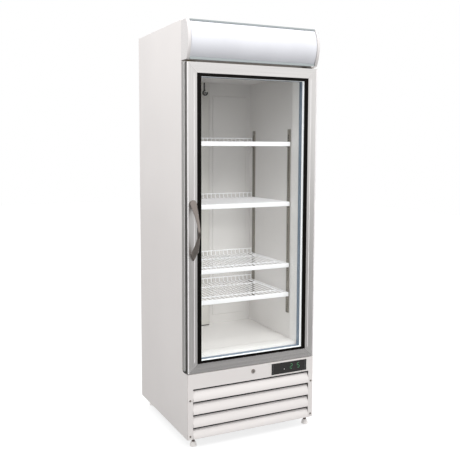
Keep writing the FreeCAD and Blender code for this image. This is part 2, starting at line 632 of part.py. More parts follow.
def casing_screws():
    """Pan-head screws of the fascia, the shelf strips and the cavity light."""
    screws = [pan_screw(x, FRONT_Y, z, 0, -1, 1.5, 5.0) for x, z in fascia_screw_places()]
    face = CAVITY_X - STRIP_DEPTH
    for side, y in strip_places():
        for z in (STRIP_TOP_Z - 16.0, (STRIP_TOP_Z + STRIP_BOTTOM_Z) / 2, STRIP_BOTTOM_Z + 12.0):
            screws.append(pan_screw(side * face, y, z, -side, 0))
    for side in (-1, 1):
        for z in (480.0, 880.0, 1280.0, 1680.0):
            screws.append(pan_screw(COLUMN_MID_X + side * COLUMN_X, CAVITY_BACK_Y - 14.0, z, side, 0))
    return screws


# ---- machine compartment -------------------------------------------------------------------
COMPRESSOR_X = 165.0
COMPRESSOR_Y = 140.0
COMPRESSOR_BASE_Z = 92.0


def compressor():
    """Hermetic compressor: a domed shell on a base plate, with its terminal cover."""
    x, y, z = COMPRESSOR_X, COMPRESSOR_Y, COMPRESSOR_BASE_Z
    base = box(x - 100.0, x + 100.0, y - 62.0, y + 62.0, z, z + 3.0)
    body = rod((x, y, z + 3.0), (x, y, z + 112.0), 78.0)
    dome = Part.makeSphere(100.0, V(x, y, z + 49.4), V(0, 0, 1), 0, 90, 360)
    dome = dome.common(rod((x, y, z + 112.0), (x, y, z + 150.0), 78.0))
    foot_weld = rod((x, y, z + 3.0), (x, y, z + 10.0), 84.0)
    seam = rod((x, y, z + 70.0), (x, y, z + 76.0), 81.0)
    cover = box(x - 108.0, x - 70.0, y - 28.0, y + 28.0, z + 30.0, z + 92.0)
    shell = base.fuse([body, dome, foot_weld, seam, cover]).removeSplitter()
    bolts = [rod((x + i, y + j, z - 1), (x + i, y + j, z + 4), 6.2) for i in (-88, 88) for j in (-50, 50)]
    return [shell.cut(bolts)]


def compressor_mounts():
    """Rubber grommets that the compressor stands on."""
    mounts = []
    for i in (-88, 88):
        for j in (-50, 50):
            x = COMPRESSOR_X + i
            y = COMPRESSOR_Y + j
            lower = rod((x, y, FOOT_HEIGHT + 1.5), (x, y, COMPRESSOR_BASE_Z), 13.0)
            neck = rod((x, y, COMPRESSOR_BASE_Z), (x, y, COMPRESSOR_BASE_Z + 3.0), 6.0)
            head = rod((x, y, COMPRESSOR_BASE_Z + 3.0), (x, y, COMPRESSOR_BASE_Z + 8.0), 9.0)
            mounts.append(lower.fuse([neck, head]).removeSplitter())
    return mounts


def condenser_coil():
    """Finned condenser behind the louvres, with its hairpin bends and end plates."""
    y0 = CONDENSER_FRONT_Y
    y1 = y0 + CONDENSER_DEPTH
    block = box(FAN_X - 140.0, FAN_X + 140.0, y0, y1, 88.0, 322.0)
    grooves = [box(FAN_X - 136.0 + i * 8.0, FAN_X - 130.0 + i * 8.0, y0 - 1, y0 + 10.0, 87.0, 323.0)
               for i in range(34)]
    block = block.cut(grooves)
    plates = [box(FAN_X + s - 1.5, FAN_X + s + 1.5, y0, y1 + 4.0, FOOT_HEIGHT + 1.5, 326.0)
              for s in (-141.5, 141.5)]
    bends = []
    for i in range(5):
        z = 110.0 + i * 40.0
        for x0, x1 in ((-163.0, -143.0), (143.0, 163.0)):
            end = x0 if x0 > 0 else x1
            turn = Part.makeTorus(10.0, 4.0, V(FAN_X + end, (y0 + y1) / 2, z + 10.0), V(0, 1, 0))
            bends.append(turn.common(box(FAN_X + x0, FAN_X + x1, y0, y1, z - 6, z + 26)))
    return [block.fuse(plates).removeSplitter()] + bends


def condenser_fan_shroud():
    """Sheet shroud on the rear of the condenser, with a collar round the fan."""
    y0 = CONDENSER_FRONT_Y + CONDENSER_DEPTH + 4.0
    plate = box(FAN_X - 143.0, FAN_X + 143.0, y0, y0 + 1.5, FOOT_HEIGHT + 1.5, 326.0)
    collar = ring((FAN_X, y0, FAN_Z), (FAN_X, y0 + 32.0, FAN_Z), FAN_R + 9.5, FAN_R + 8.0)
    opening = rod((FAN_X, y0 - 1, FAN_Z), (FAN_X, y0 + 33.0, FAN_Z), FAN_R + 8.0)
    return [plate.fuse(collar).cut(opening)]


def condenser_fan_motor():
    """Fan motor on a three-arm bracket, with a bearing hole for the fan shaft."""
    y0 = FAN_Y + 20.0
    case = rod((FAN_X, y0, FAN_Z), (FAN_X, y0 + 52.0, FAN_Z), 34.0)
    nose = rod((FAN_X, y0 - 6.0, FAN_Z), (FAN_X, y0, FAN_Z), 12.0)
    arms = []
    reach = FAN_R + 9.5
    for angle in (90, 210, 330):
        arm = box(FAN_X + 20.0, FAN_X + reach + 6.0, y0 + 2.0, y0 + 5.0, FAN_Z - 6.0, FAN_Z + 6.0)
        leg = box(FAN_X + reach + 2.0, FAN_X + reach + 6.0, CONDENSER_FRONT_Y + CONDENSER_DEPTH + 5.5,
                  y0 + 5.0, FAN_Z - 6.0, FAN_Z + 6.0)
        arm = arm.fuse(leg)
        arm.rotate(V(FAN_X, 0, FAN_Z), V(0, 1, 0), angle)
        arms.append(arm)
    bore = rod((FAN_X, y0 - 7.0, FAN_Z), (FAN_X, y0 + 30.0, FAN_Z), 3.0 + RUNNING_GAP)
    return [case.fuse([nose] + arms).removeSplitter().cut(bore)]


def condenser_fan_blade():
    """Five-bladed axial fan with its shaft."""
    hub = rod((FAN_X, FAN_Y - 8.0, FAN_Z), (FAN_X, FAN_Y + 8.0, FAN_Z), 24.0)
    shaft = rod((FAN_X, FAN_Y + 8.0, FAN_Z), (FAN_X, FAN_Y + 40.0, FAN_Z), 3.0)
    blades = []
    for i in range(5):
        blade = box(FAN_X + 20.0, FAN_X + FAN_R - 3.0, FAN_Y - 1.0, FAN_Y + 1.0, FAN_Z - 24.0, FAN_Z + 24.0)
        blade.rotate(V(FAN_X, FAN_Y, FAN_Z), V(1, 0, 0), 22)
        blade = blade.common(rod((FAN_X, FAN_Y - 12.0, FAN_Z), (FAN_X, FAN_Y + 12.0, FAN_Z), FAN_R))
        blade.rotate(V(FAN_X, FAN_Y, FAN_Z), V(0, 1, 0), 72 * i)
        blades.append(blade)
    return [hub.fuse([shaft] + blades).removeSplitter()]


def refrigerant_pipes():
    """Discharge and suction lines, the liquid line and the filter drier."""
    x, y, z = COMPRESSOR_X, COMPRESSOR_Y, COMPRESSOR_BASE_Z
    discharge = tube_run([(x - 20.0, y - 79.0, z + 40.0), (x - 20.0, -60.0, z + 40.0),
                          (x - 20.0, -60.0, 320.0), (x - 20.0, -240.0, 320.0),
                          (FAN_X + 148.0, -240.0, 320.0)], 4.0, 16.0)
    suction = tube_run([(x + 20.0, y + 79.0, z + 60.0), (x + 20.0, 300.0, z + 60.0),
                        (x + 20.0, 300.0, FASCIA_TOP_Z + 5.0)], 5.0, 20.0)
    liquid = tube_run([(FAN_X - 148.0, -240.0, 100.0), (-260.0, -240.0, 100.0), (-260.0, 80.0, 100.0),
                       (-260.0, 80.0, 200.0)], 3.0, 12.0)
    drier = rod((-260.0, 80.0, 200.0), (-260.0, 80.0, 300.0), 12.0)
    tail = rod((-260.0, 80.0, 300.0), (-260.0, 80.0, FASCIA_TOP_Z + 6.0), 3.0)
    return [discharge, suction, liquid.fuse([drier, tail]).removeSplitter()]


def condensate_pan():
    """Open pan that the defrost water runs into, beside the compressor."""
    outer = box(-230.0, 30.0, 80.0, 300.0, FOOT_HEIGHT + 1.5, 92.0)
    inner = box(-228.0, 28.0, 82.0, 298.0, FOOT_HEIGHT + 3.5, 93.0)
    return [outer.cut(inner)]


def power_inlet():
    """Mains inlet hung from the rear cover's lower edge: a flanged socket with three blades."""
    y = BACK_Y - 4.0
    flange = box(-240.0, -202.0, y, y + 2.0, 94.0, COVER_BOTTOM_Z + 10.0)
    body = box(-235.5, -206.5, y - 24.0, y, 98.5, 125.5)
    mouth = box(-233.5, -208.5, y - 18.0, y + 3.0, 100.5, 123.5)
    blades = [box(cx - 1.0, cx + 1.0, y - 18.0, y - 2.0, cz - 2.0, cz + 2.0)
              for cx, cz in ((-228.0, 110.5), (-214.0, 110.5), (-221.0, 117.5))]
    return [flange.fuse(body).removeSplitter().cut(mouth).fuse(blades)]


# ---- canopy --------------------------------------------------------------------------------
def canopy_arc(set_back, x, z0, z1):
    """Three points of the canopy's bowed front, set back from its outermost line."""
    y = CANOPY_EDGE_Y + set_back
    return V(x, y, z0), V(x, y - CANOPY_BULGE, (z0 + z1) / 2), V(x, y, z1)


def canopy_housing():
    """Sheet channel behind the sign, open to the front."""
    x = CANOPY_PANEL_X + 2.0
    back = box(-346.2, 346.2, CASE_EDGE_Y - SHEET, CASE_EDGE_Y, CANOPY_BOTTOM_Z, CANOPY_TOP_Z)
    bottom = box(-x, x, CANOPY_EDGE_Y + 8.0, CASE_EDGE_Y - SHEET, CANOPY_BOTTOM_Z, CANOPY_BOTTOM_Z + SHEET)
    top = box(-x, x, CANOPY_EDGE_Y + 8.0, CASE_EDGE_Y - SHEET, CANOPY_TOP_Z - SHEET, CANOPY_TOP_Z)
    return [back.fuse([bottom, top]).removeSplitter()]


def canopy_end_caps():
    """Moulded ends of the canopy, with the bowed front edge of the sign."""
    x0 = CANOPY_PANEL_X + 2.0
    a, m, b = canopy_arc(0.0, x0, CANOPY_BOTTOM_Z, CANOPY_TOP_Z)
    rear_top = V(x0, CASE_EDGE_Y - SHEET, CANOPY_TOP_Z)
    rear_low = V(x0, CASE_EDGE_Y - SHEET, CANOPY_BOTTOM_Z)
    edges = [Part.Arc(a, m, b).toShape(), Part.makeLine(b, rear_top)]
    edges += [Part.makeLine(rear_top, rear_low), Part.makeLine(rear_low, a)]
    cap = Part.Face(Part.Wire(edges)).extrude(V(CANOPY_CAP_X - x0, 0, 0))
    outer = [e for e in cap.Edges if abs(e.BoundBox.XMin - CANOPY_CAP_X) < 1e-6
             and abs(e.BoundBox.XMax - CANOPY_CAP_X) < 1e-6 and e.BoundBox.YMax < CASE_EDGE_Y - 5]
    cap = cap.makeFillet(4.0, outer)
    return both_sides(cap)


def canopy_sign_panel():
    """Bowed translucent sign sheet."""
    z0 = CANOPY_BOTTOM_Z + CANOPY_BOTTOM_TRIM
    z1 = CANOPY_TOP_Z - CANOPY_TOP_TRIM
    x = -CANOPY_PANEL_X
    a, m, b = canopy_arc(2.0, x, z0, z1)
    d, n, c = canopy_arc(5.0, x, z0, z1)
    sheet = arc_face(a, m, b, c, n, d).extrude(V(2 * CANOPY_PANEL_X, 0, 0))
    return [sheet]


def canopy_trims():
    """Aluminium trims along the lower and upper edges of the sign."""
    x = CANOPY_PANEL_X
    front = CANOPY_EDGE_Y - 1.0
    low = box(-x, x, front, front + 9.0, CANOPY_BOTTOM_Z, CANOPY_BOTTOM_Z + CANOPY_BOTTOM_TRIM - 2.0)
    lip = box(-x, x, front, front + 2.0, CANOPY_BOTTOM_Z + CANOPY_BOTTOM_TRIM - 2.0,
              CANOPY_BOTTOM_Z + CANOPY_BOTTOM_TRIM)
    edge = CANOPY_TOP_Z - CANOPY_TOP_TRIM
    high = box(-x, x, front, front + 9.0, edge + 2.0, CANOPY_TOP_Z)
    high_lip = box(-x, x, front, front + 2.0, edge, edge + 2.0)
    return [low.fuse(lip).removeSplitter(), high.fuse(high_lip).removeSplitter()]


def canopy_lamp():
    """Batten, two lamp holders and the tube that light the sign."""
    y = CASE_EDGE_Y - SHEET
    mid = (CANOPY_BOTTOM_Z + CANOPY_TOP_Z) / 2
    batten = box(-310.0, 310.0, y - 14.0, y, mid - 18.0, mid + 18.0)
    holders = [box(x, x + 8.0, y - 50.0, y - 14.0, mid - 14.0, mid + 14.0) for x in (-308.0, 300.0)]
    tube = rod((-300.0, y - 36.0, mid), (300.0, y - 36.0, mid), 13.0)
    return [batten] + holders + [tube]


# ---- door ----------------------------------------------------------------------------------
def door_hinge_space():
    """Room for the hinge bushes in the hinge-side stile."""
    blocks = []
    for z0, z1 in ((DOOR_BOTTOM_Z, DOOR_BOTTOM_Z + 22.0), (DOOR_TOP_Z - 22.0, DOOR_TOP_Z)):
        blocks.append(box(HINGE_X - 12.0, HINGE_X + 12.0, HINGE_Y - 11.0, HINGE_Y + 6.0, z0, z1))
    return blocks


def member(outer, hollow, rebate, outline):
    """One mitred frame member: a box section with a glass rebate, cut to its front outline."""
    mitre = prism_y(outline, FRONT_Y - 5.0, DOOR_BACK_Y + 5.0)
    return outer.cut([hollow, rebate]).common(mitre)


def door_stiles():
    """The two upright members of the door frame, mitred at both ends."""
    low, high = DOOR_BOTTOM_Z, DOOR_TOP_Z
    inner = DOOR_X - STILE_FACE
    outer = box(inner, DOOR_X, FRONT_Y, DOOR_BACK_Y, low, high)
    hollow = box(inner + REBATE + FRAME_WALL, DOOR_X - FRAME_WALL, FRONT_Y + FRAME_WALL,
                 DOOR_BACK_Y - FRAME_WALL, low - 1, high + 1)
    rebate = box(inner - 1, inner + REBATE, FRONT_Y + FRAME_LIP, DOOR_BACK_Y + 1, low - 1, high + 1)
    outline = [(DOOR_X, low), (DOOR_X, high), (inner, high - TOP_RAIL_FACE), (inner, low + BOTTOM_RAIL_FACE)]
    stile = member(outer, hollow, rebate, outline)
    corner = [e for e in stile.Edges if abs(e.CenterOfMass.x - DOOR_X) < 1e-6
              and abs(e.CenterOfMass.y - FRONT_Y) < 1e-6]
    stile = stile.makeFillet(2.0, corner)
    hinge_stile = stile.cut(door_hinge_space())
    return [hinge_stile, mirror_x(stile)]


def door_rails():
    """The top and bottom members of the door frame, mitred, the lower one slotted for the cam."""
    inner = DOOR_X - STILE_FACE
    rails = []
    for low, high, sign, edge in (
            (DOOR_BOTTOM_Z, DOOR_BOTTOM_Z + BOTTOM_RAIL_FACE, 1, DOOR_BOTTOM_Z),
            (DOOR_TOP_Z - TOP_RAIL_FACE, DOOR_TOP_Z, -1, DOOR_TOP_Z)):
        outer = box(-DOOR_X, DOOR_X, FRONT_Y, DOOR_BACK_Y, low, high)
        if sign > 0:
            hollow_z = (low + FRAME_WALL, high - REBATE - FRAME_WALL)
            rebate_z = (high - REBATE, high + 1)
            outline = [(-DOOR_X, low), (DOOR_X, low), (inner, high), (-inner, high)]
        else:
            hollow_z = (low + REBATE + FRAME_WALL, high - FRAME_WALL)
            rebate_z = (low - 1, low + REBATE)
            outline = [(-DOOR_X, high), (DOOR_X, high), (inner, low), (-inner, low)]
        hollow = box(-DOOR_X - 1, DOOR_X + 1, FRONT_Y + FRAME_WALL, DOOR_BACK_Y - FRAME_WALL, *hollow_z)
        rebate = box(-DOOR_X - 1, DOOR_X + 1, FRONT_Y + FRAME_LIP, DOOR_BACK_Y + 1, *rebate_z)
        rail = member(outer, hollow, rebate, outline)
        corner = [e for e in rail.Edges if abs(e.CenterOfMass.z - edge) < 1e-6
                  and abs(e.CenterOfMass.y - FRONT_Y) < 1e-6]
        rail = rail.makeFillet(2.0, corner)
        rails.append(rail.cut(door_hinge_space() + [lock_slot()]))
    return rails


def pane(y0, y1):
    edge = REBATE - 1.0
    x = DOOR_X - STILE_FACE + edge
    return box(-x, x, y0, y1, DOOR_BOTTOM_Z + BOTTOM_RAIL_FACE - edge, DOOR_TOP_Z - TOP_RAIL_FACE + edge)


def door_glass_outer():
    return [pane(GLASS_FRONT_Y, GLASS_FRONT_Y + GLASS)]


def door_glass_inner():
    return [pane(GLASS_BACK_Y - GLASS, GLASS_BACK_Y)]


def sight_opening(y0, y1):
    return box(-SIGHT_X, SIGHT_X, y0, y1, SIGHT_BOTTOM_Z, SIGHT_TOP_Z)


def door_glass_spacer():
    """Bright spacer bar between the two panes."""
    y0 = GLASS_FRONT_Y + GLASS
    y1 = y0 + GLASS_GAP
    w = SPACER_WIDTH
    outer = box(-SIGHT_X - w, SIGHT_X + w, y0, y1, SIGHT_BOTTOM_Z - w, SIGHT_TOP_Z + w)
    return [outer.cut(sight_opening(y0 - 1, y1 + 1))]


def door_glass_border():
    """Black band round the edge of the front pane."""
    band = pane(GLASS_FRONT_Y - BORDER, GLASS_FRONT_Y)
    return [band.cut(sight_opening(GLASS_FRONT_Y - 2, GLASS_FRONT_Y + 1))]


def door_inner_bead():
    """Plastic glazing bead behind the panes: a rim in the rebate and a fin round the glass."""
    w = BEAD_WALL
    flange_back = DOOR_BACK_Y + 6.5
    rim = pane(GLASS_BACK_Y, DOOR_BACK_Y)
    flange = box(-312.0, 312.0, DOOR_BACK_Y, flange_back, DOOR_BOTTOM_Z + 28.0, DOOR_TOP_Z - 32.0 + 3.0)
    fin = box(-SIGHT_X - w, SIGHT_X + w, flange_back, BEAD_BACK_Y, SIGHT_BOTTOM_Z - w, SIGHT_TOP_Z + w)
    return [rim.fuse([flange, fin]).removeSplitter().cut(sight_opening(GLASS_BACK_Y - 1, BEAD_BACK_Y + 1))]


def door_gasket():
    """Magnetic bellows gasket: a foot on the door, two folds and the magnet rib."""
    x0 = GASKET_INNER_X
    x1 = x0 + GASKET_WIDTH
    low = DOOR_BOTTOM_Z + 10.0
    high = DOOR_TOP_Z - 9.0
    y0 = DOOR_BACK_Y
    y1 = SEAL_Y - GASKET_GAP

    def loop(inset, ya, yb):
        outer = box(-x1 + inset, x1 - inset, ya, yb, low + inset, high - inset)
        inner = box(-x0 - inset, x0 + inset, ya - 1, yb + 1, low + GASKET_WIDTH - inset,
                    high - GASKET_WIDTH + inset)
        return outer.cut(inner)

    foot_part = loop(0.0, y0, y0 + 4.0)
    waist = loop(3.5, y0 + 4.0, y0 + 7.0)
    magnet = loop(1.0, y0 + 7.0, y1)
    return [foot_part.fuse([waist, magnet]).removeSplitter()]


def door_handle():
    """Bow handle: wide flat ends on the stile, narrowing to a slim grip."""
    mid = (HANDLE_BOTTOM_Z + HANDLE_TOP_Z) / 2
    reach = FRONT_Y - HANDLE_REACH
    seat = 24.0
    w = HANDLE_END_WIDTH / 2
    x = HANDLE_X - w - 2
    outer = Part.Arc(V(x, FRONT_Y - 3.0, HANDLE_TOP_Z), V(x, reach, mid),
                     V(x, FRONT_Y - 3.0, HANDLE_BOTTOM_Z))
    inner = Part.Arc(V(x, FRONT_Y, HANDLE_BOTTOM_Z + seat), V(x, reach + HANDLE_THICKNESS, mid),
                     V(x, FRONT_Y, HANDLE_TOP_Z - seat))
    points = [V(x, FRONT_Y - 3.0, HANDLE_BOTTOM_Z), V(x, FRONT_Y, HANDLE_BOTTOM_Z),
              V(x, FRONT_Y, HANDLE_BOTTOM_Z + seat)]
    tops = [V(x, FRONT_Y, HANDLE_TOP_Z - seat), V(x, FRONT_Y, HANDLE_TOP_Z),
            V(x, FRONT_Y - 3.0, HANDLE_TOP_Z)]
    edges = [outer.toShape(), Part.makeLine(points[0], points[1]), Part.makeLine(points[1], points[2])]
    edges += [inner.toShape(), Part.makeLine(tops[0], tops[1]), Part.makeLine(tops[1], tops[2])]
    side = Part.Face(Part.Wire(edges)).extrude(V(HANDLE_END_WIDTH + 4, 0, 0))

    g = HANDLE_GRIP_WIDTH / 2
    y = reach - 5
    cx = HANDLE_X
    shoulder_top = HANDLE_TOP_Z - w
    shoulder_low = HANDLE_BOTTOM_Z + 30.0
    front = [
        Part.Arc(V(cx + w, y, shoulder_top), V(cx, y, HANDLE_TOP_Z), V(cx - w, y, shoulder_top)).toShape(),
        Part.Arc(V(cx - w, y, shoulder_top), V(cx - g, y, mid), V(cx - w, y, shoulder_low)).toShape(),
        Part.makeLine(V(cx - w, y, shoulder_low), V(cx - 3, y, HANDLE_BOTTOM_Z)),
        Part.makeLine(V(cx - 3, y, HANDLE_BOTTOM_Z), V(cx + 3, y, HANDLE_BOTTOM_Z)),
        Part.makeLine(V(cx + 3, y, HANDLE_BOTTOM_Z), V(cx + w, y, shoulder_low)),
        Part.Arc(V(cx + w, y, shoulder_low), V(cx + g, y, mid), V(cx + w, y, shoulder_top)).toShape(),
    ]
    outline = Part.Face(Part.Wire(front)).extrude(V(0, HANDLE_REACH + 10, 0))
    return [side.common(outline)]


def hinge_pins():
    low = (FASCIA_TOP_Z - FASCIA_SHEET, DOOR_BOTTOM_Z + PIN_REACH - 2.0)
    high = (DOOR_TOP_Z - PIN_REACH + 2.0, CANOPY_BOTTOM_Z - 3.5)
    return [rod((HINGE_X, HINGE_Y, a), (HINGE_X, HINGE_Y, b), PIN_R) for a, b in (low, high)]


def hinge_brackets():
    """Steel hinge plates below and above the door, each with its pin welded in."""
    pin_low, pin_high = hinge_pins()
    under = FASCIA_TOP_Z - FASCIA_SHEET
    plate_low = box(312.0, 343.5, FRONT_Y + 4.0, -236.0, under - 3.5, under)
    leg_low = box(324.0, 343.5, -239.5, -236.0, 300.0, under - 3.5)
    plate_high = box(312.0, 345.0, FRONT_Y + 4.0, CASE_EDGE_Y - SHEET, CANOPY_BOTTOM_Z - 3.5, CANOPY_BOTTOM_Z)
    return [plate_low.fuse([leg_low, pin_low]).removeSplitter(), plate_high.fuse(pin_high).removeSplitter()]


def door_hinge_bushes():
    """Plastic bush blocks in the hinge-side stile that the pins turn in."""
    bushes = []
    for block in door_hinge_space():
        z0 = block.BoundBox.ZMin
        z1 = block.BoundBox.ZMax
        bore = rod((HINGE_X, HINGE_Y, z0 - 1), (HINGE_X, HINGE_Y, z1 + 1), PIN_R + RUNNING_GAP)
        bushes.append(block.cut(bore))
    return bushes


def closer_torsion_rod():
    """Torsion rod above the lower bush that swings the door shut."""
    z0 = DOOR_BOTTOM_Z + 22.0
    spring = rod((HINGE_X, HINGE_Y, z0), (HINGE_X, HINGE_Y, z0 + 420.0), 3.0)
    anchor = box(HINGE_X - 9.0, HINGE_X + 9.0, HINGE_Y - 9.0, HINGE_Y + 5.0, z0 + 420.0, z0 + 436.0)
    return [spring.fuse(anchor).removeSplitter()]


# ---- export --------------------------------------------------------------------------------
NODES = {
    "side_panel_left": lambda: side_panel(-1),
    "side_panel_right": lambda: side_panel(1),
    "top_panel": top_panel,
    "back_panel": back_panel,
    "rear_machine_cover": rear_machine_cover,
    "base_tray": base_tray,
    "base_rails": base_rails,
    "foam_insulation": foam_insulation,
    "inner_liner": inner_liner,
    "breaker_strips": breaker_strips,
    "rear_wall_panels": rear_wall_panels,
    "evaporator_plate": evaporator_plate,
    "light_column_base": light_column_base,
    "light_column_cover": light_column_cover,
    "led_strip": led_strip,
    "probe_clip": probe_clip,
    "pilaster_strips": pilaster_strips,
    "shelf_clips": shelf_clips,
    "fascia_panel": fascia_panel,
    "louvre_slats": louvre_slats,
    "display_window": display_window,
    "controller_box": controller_box,
    "lock_housing": lock_housing,
    "lock_cylinder": lock_cylinder,
    "lock_cam": lock_cam,
    "casing_screws": casing_screws,
    "compressor": compressor,
    "compressor_mounts": compressor_mounts,
    "condenser_coil": condenser_coil,
    "condenser_fan_shroud": condenser_fan_shroud,
    "condenser_fan_motor": condenser_fan_motor,
    "condenser_fan_blade": condenser_fan_blade,
    "refrigerant_pipes": refrigerant_pipes,
    "condensate_pan": condensate_pan,
    "power_inlet": power_inlet,
    "canopy_housing": canopy_housing,
    "canopy_end_caps": canopy_end_caps,
    "canopy_sign_panel": canopy_sign_panel,
    "canopy_trims": canopy_trims,
    "canopy_lamp": canopy_lamp,
    "hinge_brackets": hinge_brackets,
    "door_stiles": door_stiles,
    "door_rails": door_rails,
    "door_glass_outer": door_glass_outer,
    "door_glass_inner": door_glass_inner,
    "door_glass_spacer": door_glass_spacer,
    "door_glass_border": door_glass_border,
    "door_inner_bead": door_inner_bead,
    "door_gasket": door_gasket,
    "door_handle": door_handle,
    "door_hinge_bushes": door_hinge_bushes,
    "closer_torsion_rod": closer_torsion_rod,
}
for number in range(len(SHELF_STEPS)):
    NODES["shelf_%d" % (number + 1)] = lambda index=number: shelf(index)
for corner_name in foot_places():
    NODES["foot_" + corner_name] = lambda place=corner_name: foot(place)


def export_all():
    os.makedirs("parts", exist_ok=True)
    for name, build in NODES.items():
        solids = [s for shape in build() for s in shape.Solids]
        for solid in solids:
            if not solid.isValid() or solid.Volume <= 0:
                raise RuntimeError("bad solid in " + name)
        shape = solids[0] if len(solids) == 1 else Part.makeCompound(solids)
        shape.exportStep("parts/" + name + ".step")
        size = shape.BoundBox
        limits = (size.XMin, size.XMax, size.YMin, size.YMax, size.ZMin, size.ZMax)
        print("%-24s solids %3d  volume %12.0f  x %.1f..%.1f y %.1f..%.1f z %.1f..%.1f" % (
            (name, len(solids), shape.Volume) + limits))


export_all()
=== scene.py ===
import json
import math

import bmesh
import bpy
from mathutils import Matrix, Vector

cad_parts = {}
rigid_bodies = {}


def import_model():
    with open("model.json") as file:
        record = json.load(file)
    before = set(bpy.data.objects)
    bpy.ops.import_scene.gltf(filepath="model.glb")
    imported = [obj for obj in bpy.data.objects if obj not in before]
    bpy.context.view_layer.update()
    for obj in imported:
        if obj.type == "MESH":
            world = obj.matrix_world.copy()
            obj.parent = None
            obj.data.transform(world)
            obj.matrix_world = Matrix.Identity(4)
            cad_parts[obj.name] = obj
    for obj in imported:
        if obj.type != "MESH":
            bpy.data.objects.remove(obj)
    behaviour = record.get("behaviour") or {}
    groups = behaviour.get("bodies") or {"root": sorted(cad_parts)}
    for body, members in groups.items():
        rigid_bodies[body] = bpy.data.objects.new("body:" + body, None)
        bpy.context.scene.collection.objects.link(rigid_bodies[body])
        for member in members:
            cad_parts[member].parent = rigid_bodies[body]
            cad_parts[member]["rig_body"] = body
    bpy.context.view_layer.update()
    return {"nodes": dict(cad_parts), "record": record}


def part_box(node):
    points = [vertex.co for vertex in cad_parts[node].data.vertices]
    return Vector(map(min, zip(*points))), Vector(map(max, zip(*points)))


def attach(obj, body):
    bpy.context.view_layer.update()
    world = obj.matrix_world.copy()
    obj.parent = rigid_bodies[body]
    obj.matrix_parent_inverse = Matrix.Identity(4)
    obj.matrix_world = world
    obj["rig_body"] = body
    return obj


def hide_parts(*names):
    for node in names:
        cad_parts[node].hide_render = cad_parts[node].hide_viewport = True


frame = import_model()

# Glass door merchandiser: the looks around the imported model. Metres, +Z up, the door faces -Y.

NODES = frame["nodes"]
MM = 0.001
FEET = ("front_left", "front_right", "rear_left", "rear_right")
WIRE_RADIUS = 1.9 * MM


# ---- camera, light and floor ---------------------------------------------------------------
def make_camera():
    """Stands to the left of the door at about chest height and looks a little down."""
    data = bpy.data.cameras.new("camera")
    data.sensor_width = 36.0
    data.lens = 51.97
    data.shift_x = 0.0478
    data.shift_y = -0.0413
    camera = bpy.data.objects.new("camera", data)
    camera.location = (-1.5222, -3.0632, 1.4169)
    camera.rotation_euler = (math.radians(90 - 5.332), 0, math.radians(-24.782))
    bpy.context.scene.collection.objects.link(camera)
    bpy.context.scene.camera = camera


def area_light(name, place, aim, size, power):
    """A softbox of (width, height) at place that faces aim and isn't mirrored in shiny surfaces."""
    data = bpy.data.lights.new(name, "AREA")
    data.shape = "RECTANGLE"
    data.size, data.size_y = size
    data.energy = power
    light = bpy.data.objects.new(name, data)
    light.visible_glossy = False
    light.location = place
    light.rotation_euler = (Vector(aim) - Vector(place)).to_track_quat("-Z", "Y").to_euler()
    bpy.context.scene.collection.objects.link(light)


def make_lights():
    area_light("left_light", (-2.0, -0.7, 3.3), (-0.35, 0.0, 1.9), (1.2, 1.2), 30)
    area_light("front_light", (0.3, -3.2, 4.9), (0, -0.2, 0.8), (1.4, 1.4), 150)
    area_light("back_light", (0.6, 3.4, 3.6), (0, 0.6, 0.6), (2.6, 2.6), 50)


def make_world():
    """White backdrop whose light fades from bright above to dim below the horizon."""
    world = bpy.data.worlds.new("studio")
    world.use_nodes = True
    tree = world.node_tree
    tree.nodes.clear()
    output = tree.nodes.new("ShaderNodeOutputWorld")
    mix = tree.nodes.new("ShaderNodeMixShader")
    path = tree.nodes.new("ShaderNodeLightPath")
    direction = tree.nodes.new("ShaderNodeTexCoord")
    axes = tree.nodes.new("ShaderNodeSeparateXYZ")
    fade = tree.nodes.new("ShaderNodeMapRange")
    for socket, value in (("From Min", -0.38), ("From Max", 0.20), ("To Min", 0.22), ("To Max", 0.98)):
        fade.inputs[socket].default_value = value
    fade.interpolation_type = "SMOOTHSTEP"
    lighting = tree.nodes.new("ShaderNodeBackground")
    lighting.inputs["Color"].default_value = (1, 1, 1, 1)
    backdrop = tree.nodes.new("ShaderNodeBackground")
    backdrop.inputs["Color"].default_value = (1, 1, 1, 1)
    for source, target in (
            (direction.outputs["Generated"], axes.inputs[0]), (axes.outputs["Z"], fade.inputs["Value"]),
            (fade.outputs[0], lighting.inputs["Strength"]), (path.outputs["Is Camera Ray"], mix.inputs[0]),
            (lighting.outputs[0], mix.inputs[1]), (backdrop.outputs[0], mix.inputs[2]),
            (mix.outputs[0], output.inputs[0])):
        tree.links.new(source, target)
    bpy.context.scene.world = world
    bpy.context.scene.view_settings.view_transform = "Standard"


